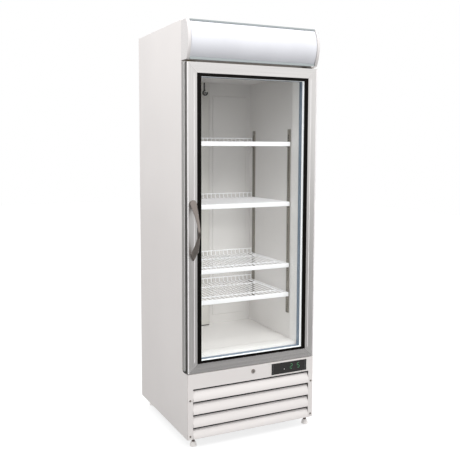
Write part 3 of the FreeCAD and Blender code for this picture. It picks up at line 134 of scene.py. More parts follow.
# ---- materials -----------------------------------------------------------------------------
class Finish:
    """One procedural material, built node by node in the object's own coordinates."""

    def __init__(self, name):
        self.material = bpy.data.materials.new(name)
        self.material.use_nodes = True
        self.tree = self.material.node_tree
        self.tree.nodes.clear()
        self.place = self.node("ShaderNodeTexCoord").outputs["Object"]

    def node(self, kind, links=(), **values):
        """Adds a node, sets its sockets' plain values and links the others."""
        made = self.tree.nodes.new(kind)
        for socket, value in values.items():
            made.inputs[socket.replace("_", " ")].default_value = value
        for socket, source in dict(links).items():
            self.tree.links.new(source, made.inputs[socket])
        return made

    def noise(self, per_metre, detail=2.0):
        """Cloudy values with that many features per metre along X, Y and Z."""
        mapping = self.node("ShaderNodeMapping", {"Vector": self.place}, Scale=per_metre)
        made = self.node("ShaderNodeTexNoise", {"Vector": mapping.outputs[0]}, Scale=1.0, Detail=detail)
        return made.outputs["Fac"]

    def spread(self, value, low, high):
        """Stretches the middle of a noise over the range low to high."""
        made = self.node("ShaderNodeMapRange", {"Value": value}, From_Min=0.3, From_Max=0.7,
                         To_Min=low, To_Max=high)
        return made.outputs[0]

    def shades(self, value, low, high):
        """Turns the middle of a noise into colours between low and high."""
        ramp = self.node("ShaderNodeValToRGB", {"Fac": value})
        for element, place, colour in zip(ramp.color_ramp.elements, (0.3, 0.7), (low, high)):
            element.position = place
            element.color = (*colour, 1)
        return ramp.outputs["Color"]

    def bump(self, value, depth, normal=None):
        links = {"Height": value}
        if normal is not None:
            links["Normal"] = normal
        return self.node("ShaderNodeBump", links, Strength=1.0, Distance=depth).outputs[0]

    def close(self, shader):
        output = self.node("ShaderNodeOutputMaterial")
        self.tree.links.new(shader.outputs[0], output.inputs["Surface"])
        return self.material


def tinted(colour, factor):
    return tuple(min(1.0, c * factor) for c in colour)


def paint(name, colour, roughness=0.4, tone=0.02, grain=450, depth=0.00003, **plain):
    """Painted metal or moulded plastic: faint clouding, a fine grain and uneven gloss."""
    made = Finish(name)
    clouds = made.noise((2.5, 2.5, 2.5), 3.0)
    fine = made.noise((grain,) * 3)
    shader = made.node("ShaderNodeBsdfPrincipled", {
        "Base Color": made.shades(clouds, tinted(colour, 1 - tone), tinted(colour, 1 + tone)),
        "Roughness": made.spread(fine, roughness * 0.85, roughness * 1.15),
        "Normal": made.bump(fine, depth),
    }, **plain)
    return made.close(shader)


def brushed(name, colour, along, roughness, contrast=0.1):
    """Brushed metal with long streaks along one axis (0, 1 or 2)."""
    made = Finish(name)

    def streaks(across):
        return made.noise(tuple(2.0 if axis == along else across for axis in range(3)), 3.0)

    wide = streaks(110.0)
    fine = streaks(900.0)
    both = made.node("ShaderNodeMath", {0: wide, 1: fine})
    half = made.node("ShaderNodeMath", {0: both.outputs[0]})
    half.operation = "MULTIPLY"
    half.inputs[1].default_value = 0.5
    dark, light = tinted(colour, 1 - contrast), tinted(colour, 1 + contrast)
    shader = made.node("ShaderNodeBsdfPrincipled", {
        "Base Color": made.shades(half.outputs[0], dark, light),
        "Roughness": made.spread(wide, roughness * 0.8, roughness * 1.2),
        "Normal": made.bump(fine, 0.00002),
    }, Metallic=1.0)
    return made.close(shader)


def metal(name, colour, roughness, tone=0.05, grain=60):
    """Plated, cast or rolled metal with slight clouding."""
    made = Finish(name)
    clouds = made.noise((grain,) * 3, 4.0)
    shader = made.node("ShaderNodeBsdfPrincipled", {
        "Base Color": made.shades(clouds, tinted(colour, 1 - tone), tinted(colour, 1 + tone)),
        "Roughness": made.spread(clouds, roughness * 0.8, roughness * 1.25),
        "Normal": made.bump(clouds, 0.00001),
    }, Metallic=1.0)
    return made.close(shader)


def spangle(name, colour):
    """Zinc-coated sheet with its crystal pattern."""
    made = Finish(name)
    cells = made.node("ShaderNodeTexVoronoi", {"Vector": made.place}, Scale=90.0)
    clouds = made.noise((3.0,) * 3, 3.0)
    grey = made.node("ShaderNodeSeparateColor", {"Color": cells.outputs["Color"]})
    shader = made.node("ShaderNodeBsdfPrincipled", {
        "Base Color": made.shades(grey.outputs[0], tinted(colour, 0.96), tinted(colour, 1.04)),
        "Roughness": made.spread(clouds, 0.38, 0.5),
        "Normal": made.bump(cells.outputs["Distance"], 0.00002),
    }, Metallic=1.0)
    return made.close(shader)


def glass(name, tint):
    """Clear flat glass: see-through, with a reflection that grows at a slant and a few smears."""
    made = Finish(name)
    smears = made.noise((5.0, 5.0, 9.0), 4.0)
    clear = made.node("ShaderNodeBsdfTransparent", Color=(*tint, 1))
    gloss = made.node("ShaderNodeBsdfGlossy", {
        "Roughness": made.spread(smears, 0.0, 0.05),
        "Normal": made.bump(smears, 0.00002),
    }, Color=(1, 1, 1, 1))
    slant = made.node("ShaderNodeLayerWeight", Blend=0.5)
    steep = made.node("ShaderNodeMath", {0: slant.outputs["Facing"]})
    steep.operation = "POWER"
    steep.inputs[1].default_value = 5.0
    share = made.node("ShaderNodeMapRange", {"Value": steep.outputs[0]}, To_Min=0.003, To_Max=0.45)
    return made.close(made.node("ShaderNodeMixShader", {
        0: share.outputs[0], 1: clear.outputs[0], 2: gloss.outputs[0]}))


def glow(name, colour, strength, **plain):
    """A light-coloured surface that also gives off some light of its own: used on lamp faces and, as painted
    light, on some parts that are no lamps.
    """
    made = Finish(name)
    clouds = made.noise((8.0,) * 3)
    fine = made.noise((500.0,) * 3)
    shader = made.node("ShaderNodeBsdfPrincipled", {
        "Base Color": made.shades(clouds, tinted(colour, 0.97), tinted(colour, 1.03)),
        "Roughness": made.spread(fine, 0.3, 0.42),
        "Normal": made.bump(fine, 0.00002),
    }, Emission_Color=(*colour, 1), Emission_Strength=strength, **plain)
    return made.close(shader)


def lit_table(name):
    """The stage floor: pale, and lit only where the camera sees it, so it gives the cabinet little light."""
    made = Finish(name)
    grain = made.noise((40.0,) * 3)
    surface = made.node("ShaderNodeBsdfPrincipled", {
        "Base Color": made.shades(grain, (0.25,) * 3, (0.27,) * 3),
        "Roughness": made.spread(grain, 0.75, 0.85),
        "Normal": made.bump(grain, 0.0001),
    })
    light = made.node("ShaderNodeEmission", Color=(1, 1, 1, 1), Strength=0.80)
    lit = made.node("ShaderNodeAddShader", {0: surface.outputs[0], 1: light.outputs[0]})
    path = made.node("ShaderNodeLightPath")
    return made.close(made.node("ShaderNodeMixShader", {
        0: path.outputs["Is Camera Ray"], 1: surface.outputs[0], 2: lit.outputs[0]}))


UP, ACROSS = 2, 0
ALUMINIUM = (0.83, 0.81, 0.795)
FINISHES = {
    "casing_white": paint("casing_white", (0.80, 0.765, 0.75), 0.38),
    "galvanised_steel": spangle("galvanised_steel", (0.55, 0.56, 0.57)),
    "foam": paint("foam", (0.80, 0.70, 0.42), 0.9, tone=0.12, grain=180, depth=0.0006),
    "liner_white": paint("liner_white", (0.862, 0.845, 0.832), 0.35, grain=300),
    # breaker_plastic: pale plastic with a faint glow of its own, painted light that brightens the strips,
    # which are no lamp
    "breaker_plastic": glow("breaker_plastic", (0.86, 0.85, 0.84), 0.10),
    "evaporator_aluminium": metal("evaporator_aluminium", (0.75, 0.76, 0.77), 0.35),
    "column_metal": paint("column_metal", (0.70, 0.69, 0.66), 0.4),
    "column_diffuser": glow("column_diffuser", (0.76, 0.745, 0.71), 0.02),
    "led_board": paint("led_board", (0.85, 0.85, 0.78), 0.5, tone=0.05),
    "black_plastic": paint("black_plastic", (0.02, 0.02, 0.02), 0.4, tone=0.1),
    # pilaster_steel: a steel tone, made darker in part as painted shade standing for the shadowed slots
    "pilaster_steel": metal("pilaster_steel", (0.40, 0.38, 0.34), 0.4, tone=0.12),
    "clip_steel": metal("clip_steel", (0.26, 0.235, 0.21), 0.35),
    "fascia_white": paint("fascia_white", (0.745, 0.71, 0.695), 0.35),
    "display_black": paint("display_black", (0.014, 0.012, 0.011), 0.12, tone=0.2, depth=0.000005,
                           Coat_Weight=0.6),
    "controller_white": paint("controller_white", (0.72, 0.69, 0.67), 0.4),
    "lock_chrome": metal("lock_chrome", (0.55, 0.50, 0.47), 0.22),
    "screw_steel": metal("screw_steel", (0.45, 0.41, 0.38), 0.3),
    "compressor_black": paint("compressor_black", (0.018, 0.018, 0.02), 0.35, tone=0.2, grain=250),
    "black_rubber": paint("black_rubber", (0.02, 0.02, 0.02), 0.75, tone=0.15, grain=700),
    "condenser_black": paint("condenser_black", (0.03, 0.03, 0.032), 0.45, tone=0.2),
    "fan_aluminium": metal("fan_aluminium", (0.65, 0.66, 0.67), 0.35),
    "copper": metal("copper", (0.72, 0.40, 0.26), 0.3, tone=0.12),
    "pan_plastic": paint("pan_plastic", (0.10, 0.10, 0.11), 0.5),
    "cap_plastic": paint("cap_plastic", (0.68, 0.655, 0.65), 0.3),
    "sign_acrylic": glow("sign_acrylic", (0.685, 0.69, 0.73), 0.06, Coat_Weight=0.4),
    "trim_aluminium": brushed("trim_aluminium", (0.54, 0.59, 0.60), ACROSS, 0.35, 0.05),
    "lamp_white": paint("lamp_white", (0.85, 0.85, 0.83), 0.4),
    "door_aluminium": brushed("door_aluminium", ALUMINIUM, UP, 0.42),
    "clear_glass": glass("clear_glass", (0.994, 0.995, 0.992)),
    # spacer_aluminium: a pale finish that glows, painted highlight on the spacer line; the spacer is no lamp
    "spacer_aluminium": glow("spacer_aluminium", (0.90, 0.93, 0.94), 0.35),
    "glass_black": paint("glass_black", (0.004, 0.0033, 0.0028), 0.3, tone=0.2, depth=0.000005,
                         Specular_IOR_Level=0.08),
    "bead_plastic": paint("bead_plastic", (0.22, 0.29, 0.38), 0.4),
    "gasket_grey": paint("gasket_grey", (0.16, 0.16, 0.16), 0.6, tone=0.08),
    "handle_chrome": metal("handle_chrome", (0.30, 0.265, 0.245), 0.14, tone=0.03, grain=12),
    "bush_nylon": paint("bush_nylon", (0.75, 0.74, 0.70), 0.5),
    "spring_steel": metal("spring_steel", (0.40, 0.39, 0.38), 0.35),
    # shelf_white: white with a glow of its own, painted light that brightens the wires and strips, which are
    # no lamp
    "shelf_white": glow("shelf_white", (0.95, 0.955, 0.985), 0.17),
    # foot_plastic: a glow of its own, painted light that lifts the feet out of the shade under the cabinet
    "foot_plastic": glow("foot_plastic", (0.80, 0.77, 0.75), 0.3),
}
RAIL_METAL = brushed("door_aluminium_across", ALUMINIUM, ACROSS, 0.2)
# A pale faintly glowing finish for the stile edge ribs: painted highlight
EDGE_HIGHLIGHT_RIB_FINISH = glow("door_rib_painted_highlight", (0.82, 0.80, 0.80), 0.04)
STEM_METAL = metal("foot_stem_steel", (0.22, 0.17, 0.15), 0.35)
DIGIT_GREEN = glow("digit_green", (0.045, 0.17, 0.075), 0.12)
# Darker grey for the outer band of the breaker strips: painted shade
BREAKER_EDGE_SHADE = paint("breaker_edge_painted_shade", (0.34, 0.335, 0.325), 0.45)
# Dark metal for the door's outer side faces: painted shade
STILE_SIDE_SHADE = metal("door_side_painted_shade", (0.075, 0.07, 0.064), 0.35)
# Near-black for sheets put in gaps and slots: painted shade
PAINTED_GAP_SHADE = paint("painted_gap_shade_black", (0.004, 0.0035, 0.0035), 0.9, tone=0.2, Specular_IOR_Level=0.05)
TABLE_WHITE = lit_table("table_white")
NODE_FINISH = {"door_rails": RAIL_METAL}
SLOT_OF = {row["node"]: row["material_slot"] for row in frame["record"]["subparts"]}


def finish_of(node):
    return NODE_FINISH.get(node, FINISHES[SLOT_OF[node]])


def dress_nodes():
    """Gives every CAD node its finish."""
    for node, shown in NODES.items():
        for slot in shown.material_slots:
            slot.material = finish_of(node)


# ---- mesh helpers --------------------------------------------------------------------------
def is_flat(face):
    """True for a face of some size when no neighbour carries on a gentle curve from it."""
    level, sharp, smallest = math.radians(0.5), math.radians(21), (5 * MM) ** 2
    turns = [edge.calc_face_angle() for edge in face.edges if len(edge.link_faces) == 2]
    return face.calc_area() > smallest and all(turn < level or turn > sharp for turn in turns)


def as_object(name, mesh, material):
    """Turns a bmesh into an object of the scene."""
    data = bpy.data.meshes.new(name)
    mesh.to_mesh(data)
    mesh.free()
    data.materials.append(material)
    made = bpy.data.objects.new(name, data)
    bpy.context.scene.collection.objects.link(made)
    return made


def add_piece(name, mesh, slot, body, replaces=(), finish=None, smooth=40, flats=False):
    """Makes a bmesh a piece that rides on a body; edges that turn more than smooth degrees stay sharp."""
    bmesh.ops.recalc_face_normals(mesh, faces=mesh.faces)
    for face in mesh.faces:
        face.smooth = not (flats and is_flat(face))
    for edge in mesh.edges:
        edge.smooth = len(edge.link_faces) == 2 and edge.calc_face_angle() < math.radians(smooth)
    piece = as_object(name, mesh, finish or FINISHES[slot])
    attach(piece, body)
    if replaces:
        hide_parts(*replaces)
    return piece


def eased(node, width):
    """A copy of a CAD node with its sharp edges rounded off."""
    mesh = bmesh.new()
    mesh.from_mesh(NODES[node].data)
    bmesh.ops.remove_doubles(mesh, verts=mesh.verts, dist=0.02 * MM)
    bmesh.ops.dissolve_limit(mesh, angle_limit=math.radians(0.5), verts=mesh.verts, edges=mesh.edges)
    sharp = math.radians(35)
    edges = [e for e in mesh.edges if len(e.link_faces) == 2 and e.calc_face_angle() > sharp]
    bmesh.ops.bevel(mesh, geom=edges, offset=width, segments=2, profile=0.5, affect="EDGES",
                    clamp_overlap=True)
    return add_piece(node + "_eased", mesh, SLOT_OF[node], NODES[node]["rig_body"], [node],
                     finish_of(node), smooth=50, flats=True)


def shade_outer_faces(piece, finish, band, sideways_only):
    """Gives the faces within a band of the piece's left and right edges a darker finish: painted shade on
    those edges.
    """
    piece.data.materials.append(finish)
    reach = max(abs(v.co.x) for v in piece.data.vertices)
    for face in piece.data.polygons:
        if abs(face.center.x) > reach - band and (abs(face.normal.x) > 0.9 or not sideways_only):
            face.material_index = 1


def tube(mesh, points, radius, sides=10):
    """Adds a round wire along points, capped at both ends."""
    points = [Vector(p) for p in points]
    rings = []
    side = None
    for index, point in enumerate(points):
        before = points[max(index - 1, 0)]
        after = points[min(index + 1, len(points) - 1)]
        ahead = (after - before).normalized()
        if side is None:
            side = ahead.orthogonal().normalized()
        side = (side - ahead * side.dot(ahead)).normalized()
        other = ahead.cross(side)
        ring = []
        for step in range(sides):
            turn = 2 * math.pi * step / sides
            ring.append(mesh.verts.new(point + (side * math.cos(turn) + other * math.sin(turn)) * radius))
        rings.append(ring)
    skin(mesh, rings)


def skin(mesh, rings, capped=True):
    """Joins closed rings of equal length with faces, one to the next."""
    for lower, upper in zip(rings, rings[1:]):
        for i in range(len(lower)):
            j = (i + 1) % len(lower)
            mesh.faces.new((lower[i], lower[j], upper[j], upper[i]))
    if capped:
        mesh.faces.new(rings[0][::-1])
        mesh.faces.new(rings[-1])


def polygon(x, y, radius, sides):
    """The corners of a regular polygon round (x, y), the first one straight along the first axis."""
    turns = [2 * math.pi * i / sides for i in range(sides)]
    return [(x + radius * math.cos(turn), y + radius * math.sin(turn)) for turn in turns]


def lathe(mesh, centre, profile, sides=40):
    """Turns a profile of (radius, z) pairs round an upright axis through centre."""
    skin(mesh, [[mesh.verts.new((x, y, z)) for x, y in polygon(centre[0], centre[1], radius, sides)]
                for radius, z in profile])


def rounded(points, radius, steps=4):
    """A closed outline with each corner replaced by an arc."""
    points = [Vector(p) for p in points]
    outline = []
    for index, corner in enumerate(points):
        back = (points[index - 1] - corner).normalized()
        ahead = (points[(index + 1) % len(points)] - corner).normalized()
        reach = min(radius, (points[index - 1] - corner).length * 0.49,
                    (points[(index + 1) % len(points)] - corner).length * 0.49)
        for step in range(steps + 1):
            t = step / steps
            outline.append(corner + back * reach * (1 - t) ** 2 + ahead * reach * t ** 2)
    return outline


def rounded_rectangle(u0, v0, u1, v1, radius):
    """A closed outline between two opposite corners, with its corners rounded."""
    return rounded([(u0, v0), (u1, v0), (u1, v1), (u0, v1)], radius)


def extrude_x(mesh, outline, x0, x1):
    """Adds a bar along X with an outline of (y, z) pairs."""
    skin(mesh, [[mesh.verts.new((x, y, z)) for y, z in outline] for x in (x0, x1)])


def extrude_y(mesh, outline, y0, y1):
    """Adds a bar along Y with an outline of (x, z) pairs."""
    skin(mesh, [[mesh.verts.new((x, y, z)) for x, z in outline] for y in (y0, y1)])


def extrude_z(mesh, outline, z0, z1):
    """Adds a bar along Z with an outline of (x, y) pairs."""
    skin(mesh, [[mesh.verts.new((x, y, z)) for x, y in outline] for z in (z0, z1)])


def sweep_rectangle(mesh, profile, low, high):
    """Sweeps a closed profile of (outward, y) pairs round an upright rectangle, mitred."""
    rings = []
    for corner_x, corner_z, sx, sz in ((high.x, low.z, 1, -1), (high.x, high.z, 1, 1),
                                       (low.x, high.z, -1, 1), (low.x, low.z, -1, -1)):
        rings.append([mesh.verts.new((corner_x + sx * out, y, corner_z + sz * out)) for out, y in profile])
    skin(mesh, rings + rings[:1], capped=False)


# ---- pieces --------------------------------------------------------------------------------
def make_floor():
    """A plain pale floor, wide at the sides and behind, that ends a little way in front."""
    side, front, back = 9.0, -1.3, 14.0
    corners = ((-side, front), (side, front), (side, back), (-side, back))
    mesh = bmesh.new()
    mesh.faces.new([mesh.verts.new((x, y, 0)) for x, y in corners])
    as_object("floor", mesh, TABLE_WHITE)


def make_foot(place):
    """Levelling foot: a domed pad with a rim, a hexagon collar and a threaded stem."""
    node = "foot_" + place
    low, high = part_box(node)
    centre = (low + high) / 2
    wide = (high.x - low.x) / 2
    neck, dome_steps = 9.0 * MM, 8
    profile = [(0.86 * wide, 0.0), (0.97 * wide, 0.6 * MM), (wide, 2.0 * MM), (wide, 5.6 * MM),
               (0.975 * wide, 6.8 * MM)]
    for step in range(dome_steps + 1):
        turn = math.radians(90) * step / dome_steps
        profile.append((neck + (0.92 * wide - neck) * math.cos(turn), (7.2 + 14.6 * math.sin(turn)) * MM))
    pad = bmesh.new()
    lathe(pad, centre, profile)
    add_piece(node + "_pad", pad, "foot_plastic", node + "_body", [node])
    make_foot_stem(node, centre, high.z)


def make_foot_stem(node, centre, top):
    """A levelling foot's hexagon collar and threaded stem."""
    collar_bottom, collar_top, chamfer = 22.0 * MM, 29.0 * MM, 0.6 * MM
    stem = 5.0 * MM
    core = stem - 0.35 * MM
    screw = bmesh.new()
    collar = rounded(polygon(centre.x, centre.y, 8.4 * MM, 6), 1.0 * MM, 2)
    inner = [Vector((centre.x, centre.y)).lerp(corner, 0.93) for corner in collar]
    skin(screw, [[screw.verts.new((x, y, z)) for x, y in ring]
                 for ring, z in ((inner, collar_bottom), (collar, collar_bottom + chamfer),
                                 (collar, collar_top - chamfer), (inner, collar_top))])
    lathe(screw, centre, [(core, collar_bottom - 1.0 * MM), (core, top)], 24)
    thread(screw, centre, collar_top, top, stem, 1.5 * MM)
    add_piece(node + "_stem", screw, "foot_plastic", node + "_body", [node], STEM_METAL)


def thread(mesh, centre, bottom, top, radius, pitch, sides=16):
    """Adds a raised screw thread round an upright axis through centre, from bottom to top."""
    root = radius - 0.5 * MM
    rows = []
    for step in range(int((top - bottom) / pitch) * sides + 1):
        turn = 2 * math.pi * step / sides
        z = bottom + pitch * step / sides
        levels = ((root, min(z + 0.05 * MM, top - 0.35 * MM)), (radius, min(z + pitch / 2, top - 0.2 * MM)),
                  (root, min(z + pitch - 0.05 * MM, top - 0.05 * MM)))
        rows.append([mesh.verts.new((centre.x + r * math.cos(turn), centre.y + r * math.sin(turn), level))
                     for r, level in levels])
    skin(mesh, rows)


def make_base_bolts():
    """A hexagon bolt head with its washer under the base beside each foot."""
    base, washer, head = 50.0 * MM, 1.2 * MM, 4.8 * MM
    mesh = bmesh.new()
    for place in FEET:
        low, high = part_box("foot_" + place)
        x = (low.x + high.x) / 2 + 15.0 * MM * (1 if high.x < 0 else -1)
        y = (low.y + high.y) / 2 + 4.0 * MM
        extrude_z(mesh, polygon(x, y, 5.6 * MM, 24), base - washer, base)
        extrude_z(mesh, polygon(x, y, 4.6 * MM, 6), base - washer - head, base - washer)
    add_piece("base_bolts", mesh, "screw_steel", "cabinet")


def make_louvre_shade_strips():
    """Black strips lying along the slats' heads, behind the gaps: painted shade that makes the gaps read
    dark.
    """
    low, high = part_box("louvre_slats")
    slats, pitch = 4, 62.5 * MM
    front, back = high.y - 10.0 * MM, high.y - 2.0 * MM
    above, tall, inset = 0.3 * MM, 7.7 * MM, 1.0 * MM
    seals = bmesh.new()
    for index in range(slats):
        bottom = high.z - index * pitch + above
        outline = rounded_rectangle(front, bottom, back, bottom + tall, 0.8 * MM)
        extrude_x(seals, outline, low.x + inset, high.x - inset)
    add_piece("louvre_gap_shade", seals, "black_rubber", "cabinet", finish=PAINTED_GAP_SHADE)


def make_slot_shade_backs():
    """Dark backing inside each slotted shelf strip, seen through its slots: painted shade in the slots."""
    low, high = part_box("pilaster_strips")
    strip_half, back_half = 12.0 * MM, 7.0 * MM
    off_wall, thickness, ends = 3.6 * MM, 0.8 * MM, 3.0 * MM
    backs = bmesh.new()
    for side in (-1, 1):
        face = side * (high.x - off_wall)
        for y in (low.y + strip_half, high.y - strip_half):
            outline = rounded_rectangle(face, y - back_half, face + side * thickness, y + back_half, 0.3 * MM)
            extrude_z(backs, outline, low.z + ends, high.z - ends)
    add_piece("shelf_strip_backs", backs, "black_plastic", "cabinet", finish=PAINTED_GAP_SHADE)


def make_column_shadow_line():
    """Dark strip under the foot of the cavity light's cover: a painted shadow line."""
    low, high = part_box("light_column_cover")
    lip, deep, below, above = 0.8 * MM, 3.0 * MM, 1.5 * MM, 2.2 * MM
    outline = rounded_rectangle(low.x - lip, low.y - lip, high.x + lip, low.y + deep, 0.6 * MM)
    seal = bmesh.new()
    extrude_z(seal, outline, low.z - below, low.z + above)
    add_piece("column_foot_shadow_line", seal, "black_rubber", "cabinet")


def make_highlight_ribs():
    """Rounded ribs along the outer and inner edges of the door stiles, pale and faintly glowing: painted
    highlights on the stile edges.
    """
    low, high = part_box("door_stiles")
    border_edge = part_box("door_glass_border")[1].x
    sunk, proud = low.y + 0.2 * MM, low.y - 0.9 * MM
    ribs = bmesh.new()
    for from_middle, half_width, ends in ((high.x - 4.6 * MM, 2.2 * MM, 4.0 * MM),
                                          (border_edge + 3.4 * MM, 1.6 * MM, 52.0 * MM)):
        for x in (-from_middle, from_middle):
            outline = rounded_rectangle(x - half_width, sunk, x + half_width, proud, 0.8 * MM)
            extrude_z(ribs, outline, low.z + ends, high.z - ends)
    add_piece("door_stile_highlight_ribs", ribs, "door_aluminium", "door", finish=EDGE_HIGHLIGHT_RIB_FINISH)


def make_handle():
    """Chrome bow handle, lofted from rounded cross-sections that narrow to the grip."""
    low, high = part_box("door_handle")
    mid_z = (low.z + high.z) / 2
    half = (high.z - low.z) / 2
    centre_x = (low.x + high.x) / 2
    end_width = (high.x - low.x) / 2
    grip_width = 6.0 * MM
    point, point_width = 46.0 * MM, 3.0 * MM
    seat, tip, thickness = 24.0 * MM, 3.0 * MM, 7.0 * MM
    proud = 5.0 * MM
    reach = high.y - low.y + proud

    def bow(z, reach, span):
        """How far limbs of that reach over +-span, rounded where they meet, stand out at height z."""
        return reach * (1 - min(abs(z - mid_z) / span, 1.0) ** 1.45)

    def half_width(z):
        """A round end at the top, a long point at the bottom, and the narrow grip between them."""
        top_round = high.z - end_width
        if z > top_round:
            return math.sqrt(max(end_width ** 2 - (z - top_round) ** 2, 0.0))
        if z < low.z + point:
            return point_width + (end_width - point_width) * (z - low.z) / point
        span = top_round - mid_z if z > mid_z else mid_z - low.z - point
        share = min(abs(z - mid_z) / span, 1.0)
        return grip_width + (end_width - grip_width) * share ** 1.9

    def squared(value):
        """Fills out a cosine or sine, so that a circle turns into a rounded square."""
        return math.copysign(abs(value) ** 0.8, value)

    steps, sides = 72, 28
    turns = [2 * math.pi * i / sides for i in range(sides)]
    mesh = bmesh.new()
    rings = []
    for step in range(steps + 1):
        z = mid_z - half * math.cos(math.pi * step / steps)
        front = high.y - tip - bow(z, reach - tip, half)
        back = high.y - (bow(z, reach - thickness, half - seat) if abs(z - mid_z) < half - seat else 0.0)
        width, depth = max(half_width(z), 0.4 * MM), (back - front) / 2
        rings.append([mesh.verts.new((centre_x + width * squared(math.cos(turn)),
                                      (front + back) / 2 + depth * squared(math.sin(turn)), z))
                      for turn in turns])
    skin(mesh, rings)
    add_piece("door_handle_bow", mesh, "handle_chrome", "door", ["door_handle"], smooth=60)


def make_gasket():
    """Door gasket: a foot, two soft folds and a rounded magnet rib, mitred at the corners."""
    low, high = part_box("door_gasket")
    wide = 16.0 * MM
    deep = high.y - low.y
    outline = [(0.0, 0.0), (0.0, 0.22), (-0.16, 0.30), (-0.05, 0.40), (-0.20, 0.50), (-0.06, 0.62),
               (-0.06, 1.0), (-0.94, 1.0), (-0.94, 0.62), (-0.80, 0.50), (-0.95, 0.40), (-0.84, 0.30),
               (-1.0, 0.22), (-1.0, 0.0)]
    profile = rounded([(out * wide, low.y + y * deep) for out, y in outline], 0.9 * MM, 3)
    mesh = bmesh.new()
    sweep_rectangle(mesh, profile, low, high)
    add_piece("door_gasket_bellows", mesh, "gasket_grey", "door", ["door_gasket"], smooth=50)


DIGIT_BARS = {"2": "abged", "5": "afgcd"}
BAR_ENDS = {"a": ((0, 2), (1, 2)), "b": ((1, 2), (1, 1)), "c": ((1, 1), (1, 0)), "d": ((0, 0), (1, 0)),
            "e": ((0, 1), (0, 0)), "f": ((0, 2), (0, 1)), "g": ((0, 1), (1, 1))}
DIGITS_UP = 4.0 * MM
DISPLAY_PROUD = 0.3 * MM


def make_digits():
    """Two lit digits on the dark display window."""
    low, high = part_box("display_window")
    middle_z = (low.z + high.z) / 2 + DIGITS_UP
    wide, tall, half_stroke, gap = 12.0 * MM, 12.0 * MM, 1.9 * MM, 0.6 * MM
    digits = bmesh.new()
    for digit, from_left in (("2", 114.0 * MM), ("5", 155.0 * MM)):
        for bar in DIGIT_BARS[digit]:
            start, end = (Vector((low.x + from_left + (u - 0.5) * wide, middle_z + (v - 1) * tall))
                          for u, v in BAR_ENDS[bar])
            ahead = (end - start).normalized()
            side = Vector((ahead.y, -ahead.x)) * half_stroke
            start += ahead * gap
            end -= ahead * gap
            shoulder = ahead * half_stroke
            corners = [start, start + shoulder + side, end - shoulder + side, end,
                       end - shoulder - side, start + shoulder - side]
            extrude_y(digits, corners, low.y, low.y - DISPLAY_PROUD)
    add_piece("display_digits", digits, "display_black", "cabinet", finish=DIGIT_GREEN)


def make_display_lamp():
    """A small domed indicator lamp to the left of the digits and below their middle."""
    low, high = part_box("display_window")
    centre = Vector((low.x + 73.5 * MM, low.y, (low.z + high.z) / 2 + DIGITS_UP - 10.0 * MM))
    flatness = 0.4
    lamp = bmesh.new()
    bmesh.ops.create_uvsphere(lamp, u_segments=20, v_segments=10, radius=2.2 * MM)
    for vertex in lamp.verts:
        vertex.co = centre + Vector((vertex.co.x, vertex.co.y * flatness, vertex.co.z))
    add_piece("display_lamp", lamp, "controller_white", "cabinet")


def make_display_lines():
    """A thin upright line near each end of the display window."""
    low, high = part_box("display_window")
    inset, half_width, ends = 8.0 * MM, 0.7 * MM, 2.0 * MM
    lines = bmesh.new()
    for x in (low.x + inset, high.x - inset):
        outline = rounded_rectangle(x - half_width, low.z + ends, x + half_width, high.z - ends, 0.5 * MM)
        extrude_y(lines, outline, low.y, low.y - DISPLAY_PROUD)
    add_piece("display_edge_lines", lines, "controller_white", "cabinet", finish=FINISHES["pan_plastic"])


def shelf_wires(low, high, top):
    """Wires from front to rear, bent up at the rear, and the rail that joins their ends."""
    spaces, bend_steps = 22, 5
    inset, rail_inset, bend = 4.0 * MM, 2.4 * MM, 7.0 * MM
    pitch = (high.x - low.x - 2 * inset) / spaces
    rear, level, rail_z = high.y - WIRE_RADIUS, top - WIRE_RADIUS, high.z - WIRE_RADIUS
    wires = bmesh.new()
    for index in range(spaces + 1):
        x = low.x + inset + index * pitch
        line = [(x, low.y + 1.2 * MM, level)]
        for step in range(bend_steps + 1):
            turn = math.radians(90) * step / bend_steps
            line.append((x, rear - bend + bend * math.sin(turn), level + bend - bend * math.cos(turn)))
        line.append((x, rear, rail_z))
        tube(wires, line, WIRE_RADIUS)
    tube(wires, [(low.x + rail_inset, rear, rail_z), (high.x - rail_inset, rear, rail_z)], WIRE_RADIUS * 1.25)
    return wires


def shelf_bars(low, high, top):
    """Two bars from front to rear and two across, under the wires."""
    bar, sides = 3.0 * MM, 14
    z = top - 2 * WIRE_RADIUS - bar
    side_x = high.x - bar - 10.0 * MM
    bars = bmesh.new()
    for x in (-side_x, side_x):
        tube(bars, [(x, low.y + 12 * MM, z), (x, high.y - 6 * MM, z)], bar, sides)
    for y in (low.y + 90 * MM, high.y - 90 * MM):
        tube(bars, [(-side_x, y, z), (side_x, y, z)], bar, sides)
    return bars


def shelf_front_strip(low, high, top):
    """The turned-down white strip along the front."""
    thickness = 2.4 * MM
    strip = bmesh.new()
    extrude_x(strip, rounded_rectangle(low.y, low.z, low.y + thickness, top, 1.0 * MM), low.x, high.x)
    return strip


def make_shelf(number):
    """Wire shelf: wires bent up at the rear, bars under them and a turned-down white front strip."""
    node = "shelf_%d" % number
    low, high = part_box(node)
    top = high.z - 25.0 * MM
    for ending, make in (("_wires", shelf_wires), ("_bars", shelf_bars), ("_front_strip", shelf_front_strip)):
        add_piece(node + ending, make(low, high, top), "shelf_white", node + "_body", [node])


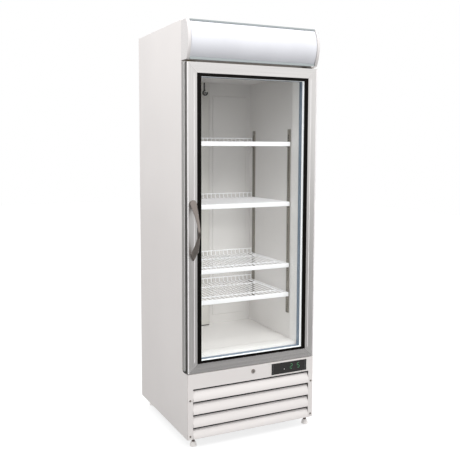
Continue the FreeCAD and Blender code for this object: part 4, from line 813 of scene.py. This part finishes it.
def screw_heads(name, places):
    """Domed screw heads with a cross, standing out along +Y from the cabinet."""
    radius, tall, sides = 4.0 * MM, 1.6 * MM, 20
    dome = ((1.0, 0.0), (0.98, 0.35), (0.85, 0.75), (0.55, 0.97), (0.2, 1.0))
    mesh = bmesh.new()
    for x, y, z in places:
        skin(mesh, [[mesh.verts.new((u, y + tall * level, v))
                     for u, v in polygon(x, z, radius * share, sides)] for share, level in dome])
        for wide, high in ((radius * 0.55, radius * 0.1), (radius * 0.1, radius * 0.55)):
            corners = [(x - wide, z - high), (x + wide, z - high), (x + wide, z + high), (x - wide, z + high)]
            extrude_y(mesh, corners, y + tall * 0.9, y + tall * 1.03)
    add_piece(name, mesh, "screw_steel", "cabinet")


def make_back_screws():
    """Screws round the back panel and the rear cover."""
    inset, rows, columns = 9.0 * MM, 8, 4
    low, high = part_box("back_panel")
    left, right, bottom, top = low.x + inset, high.x - inset, low.z + inset, high.z - inset
    places = []
    for index in range(rows + 1):
        z = bottom + (top - bottom) * index / rows
        places += [(left, high.y, z), (right, high.y, z)]
    for index in range(1, columns):
        x = low.x + (high.x - low.x) * index / columns
        places += [(x, high.y, bottom), (x, high.y, top)]
    screw_heads("back_panel_screws", places)
    low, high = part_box("rear_machine_cover")
    places = [(x, high.y, z) for x in (low.x + inset, 0.0, high.x - inset)
              for z in (low.z + inset, high.z - inset)]
    screw_heads("rear_cover_screws", places)


EASED = {
    "side_panel_left": 0.5, "side_panel_right": 0.5, "door_stiles": 0.7, "door_rails": 0.7,
    "louvre_slats": 0.5, "controller_box": 0.6, "breaker_strips": 0.8, "canopy_trims": 0.8,
    "shelf_clips": 0.6, "hinge_brackets": 0.6, "light_column_cover": 0.5, "display_window": 0.5,
    "compressor": 1.5, "door_inner_bead": 0.8, "lock_cam": 0.4,
}


def make_pieces():
    make_floor()
    dress_nodes()
    made = {node: eased(node, width * MM) for node, width in EASED.items()}
    # Painted shade: a darker finish on the door's outer side faces and on the breaker strips' outer band
    shade_outer_faces(made["door_stiles"], STILE_SIDE_SHADE, 1.0 * MM, True)
    shade_outer_faces(made["breaker_strips"], BREAKER_EDGE_SHADE, 40.0 * MM, False)
    for place in FEET:
        make_foot(place)
    make_base_bolts()
    make_louvre_shade_strips()
    make_slot_shade_backs()
    make_column_shadow_line()
    make_highlight_ribs()
    make_handle()
    make_gasket()
    make_digits()
    make_display_lamp()
    make_display_lines()
    for number in range(1, 5):
        make_shelf(number)
    make_back_screws()


make_camera()
make_lights()
make_world()
make_pieces()
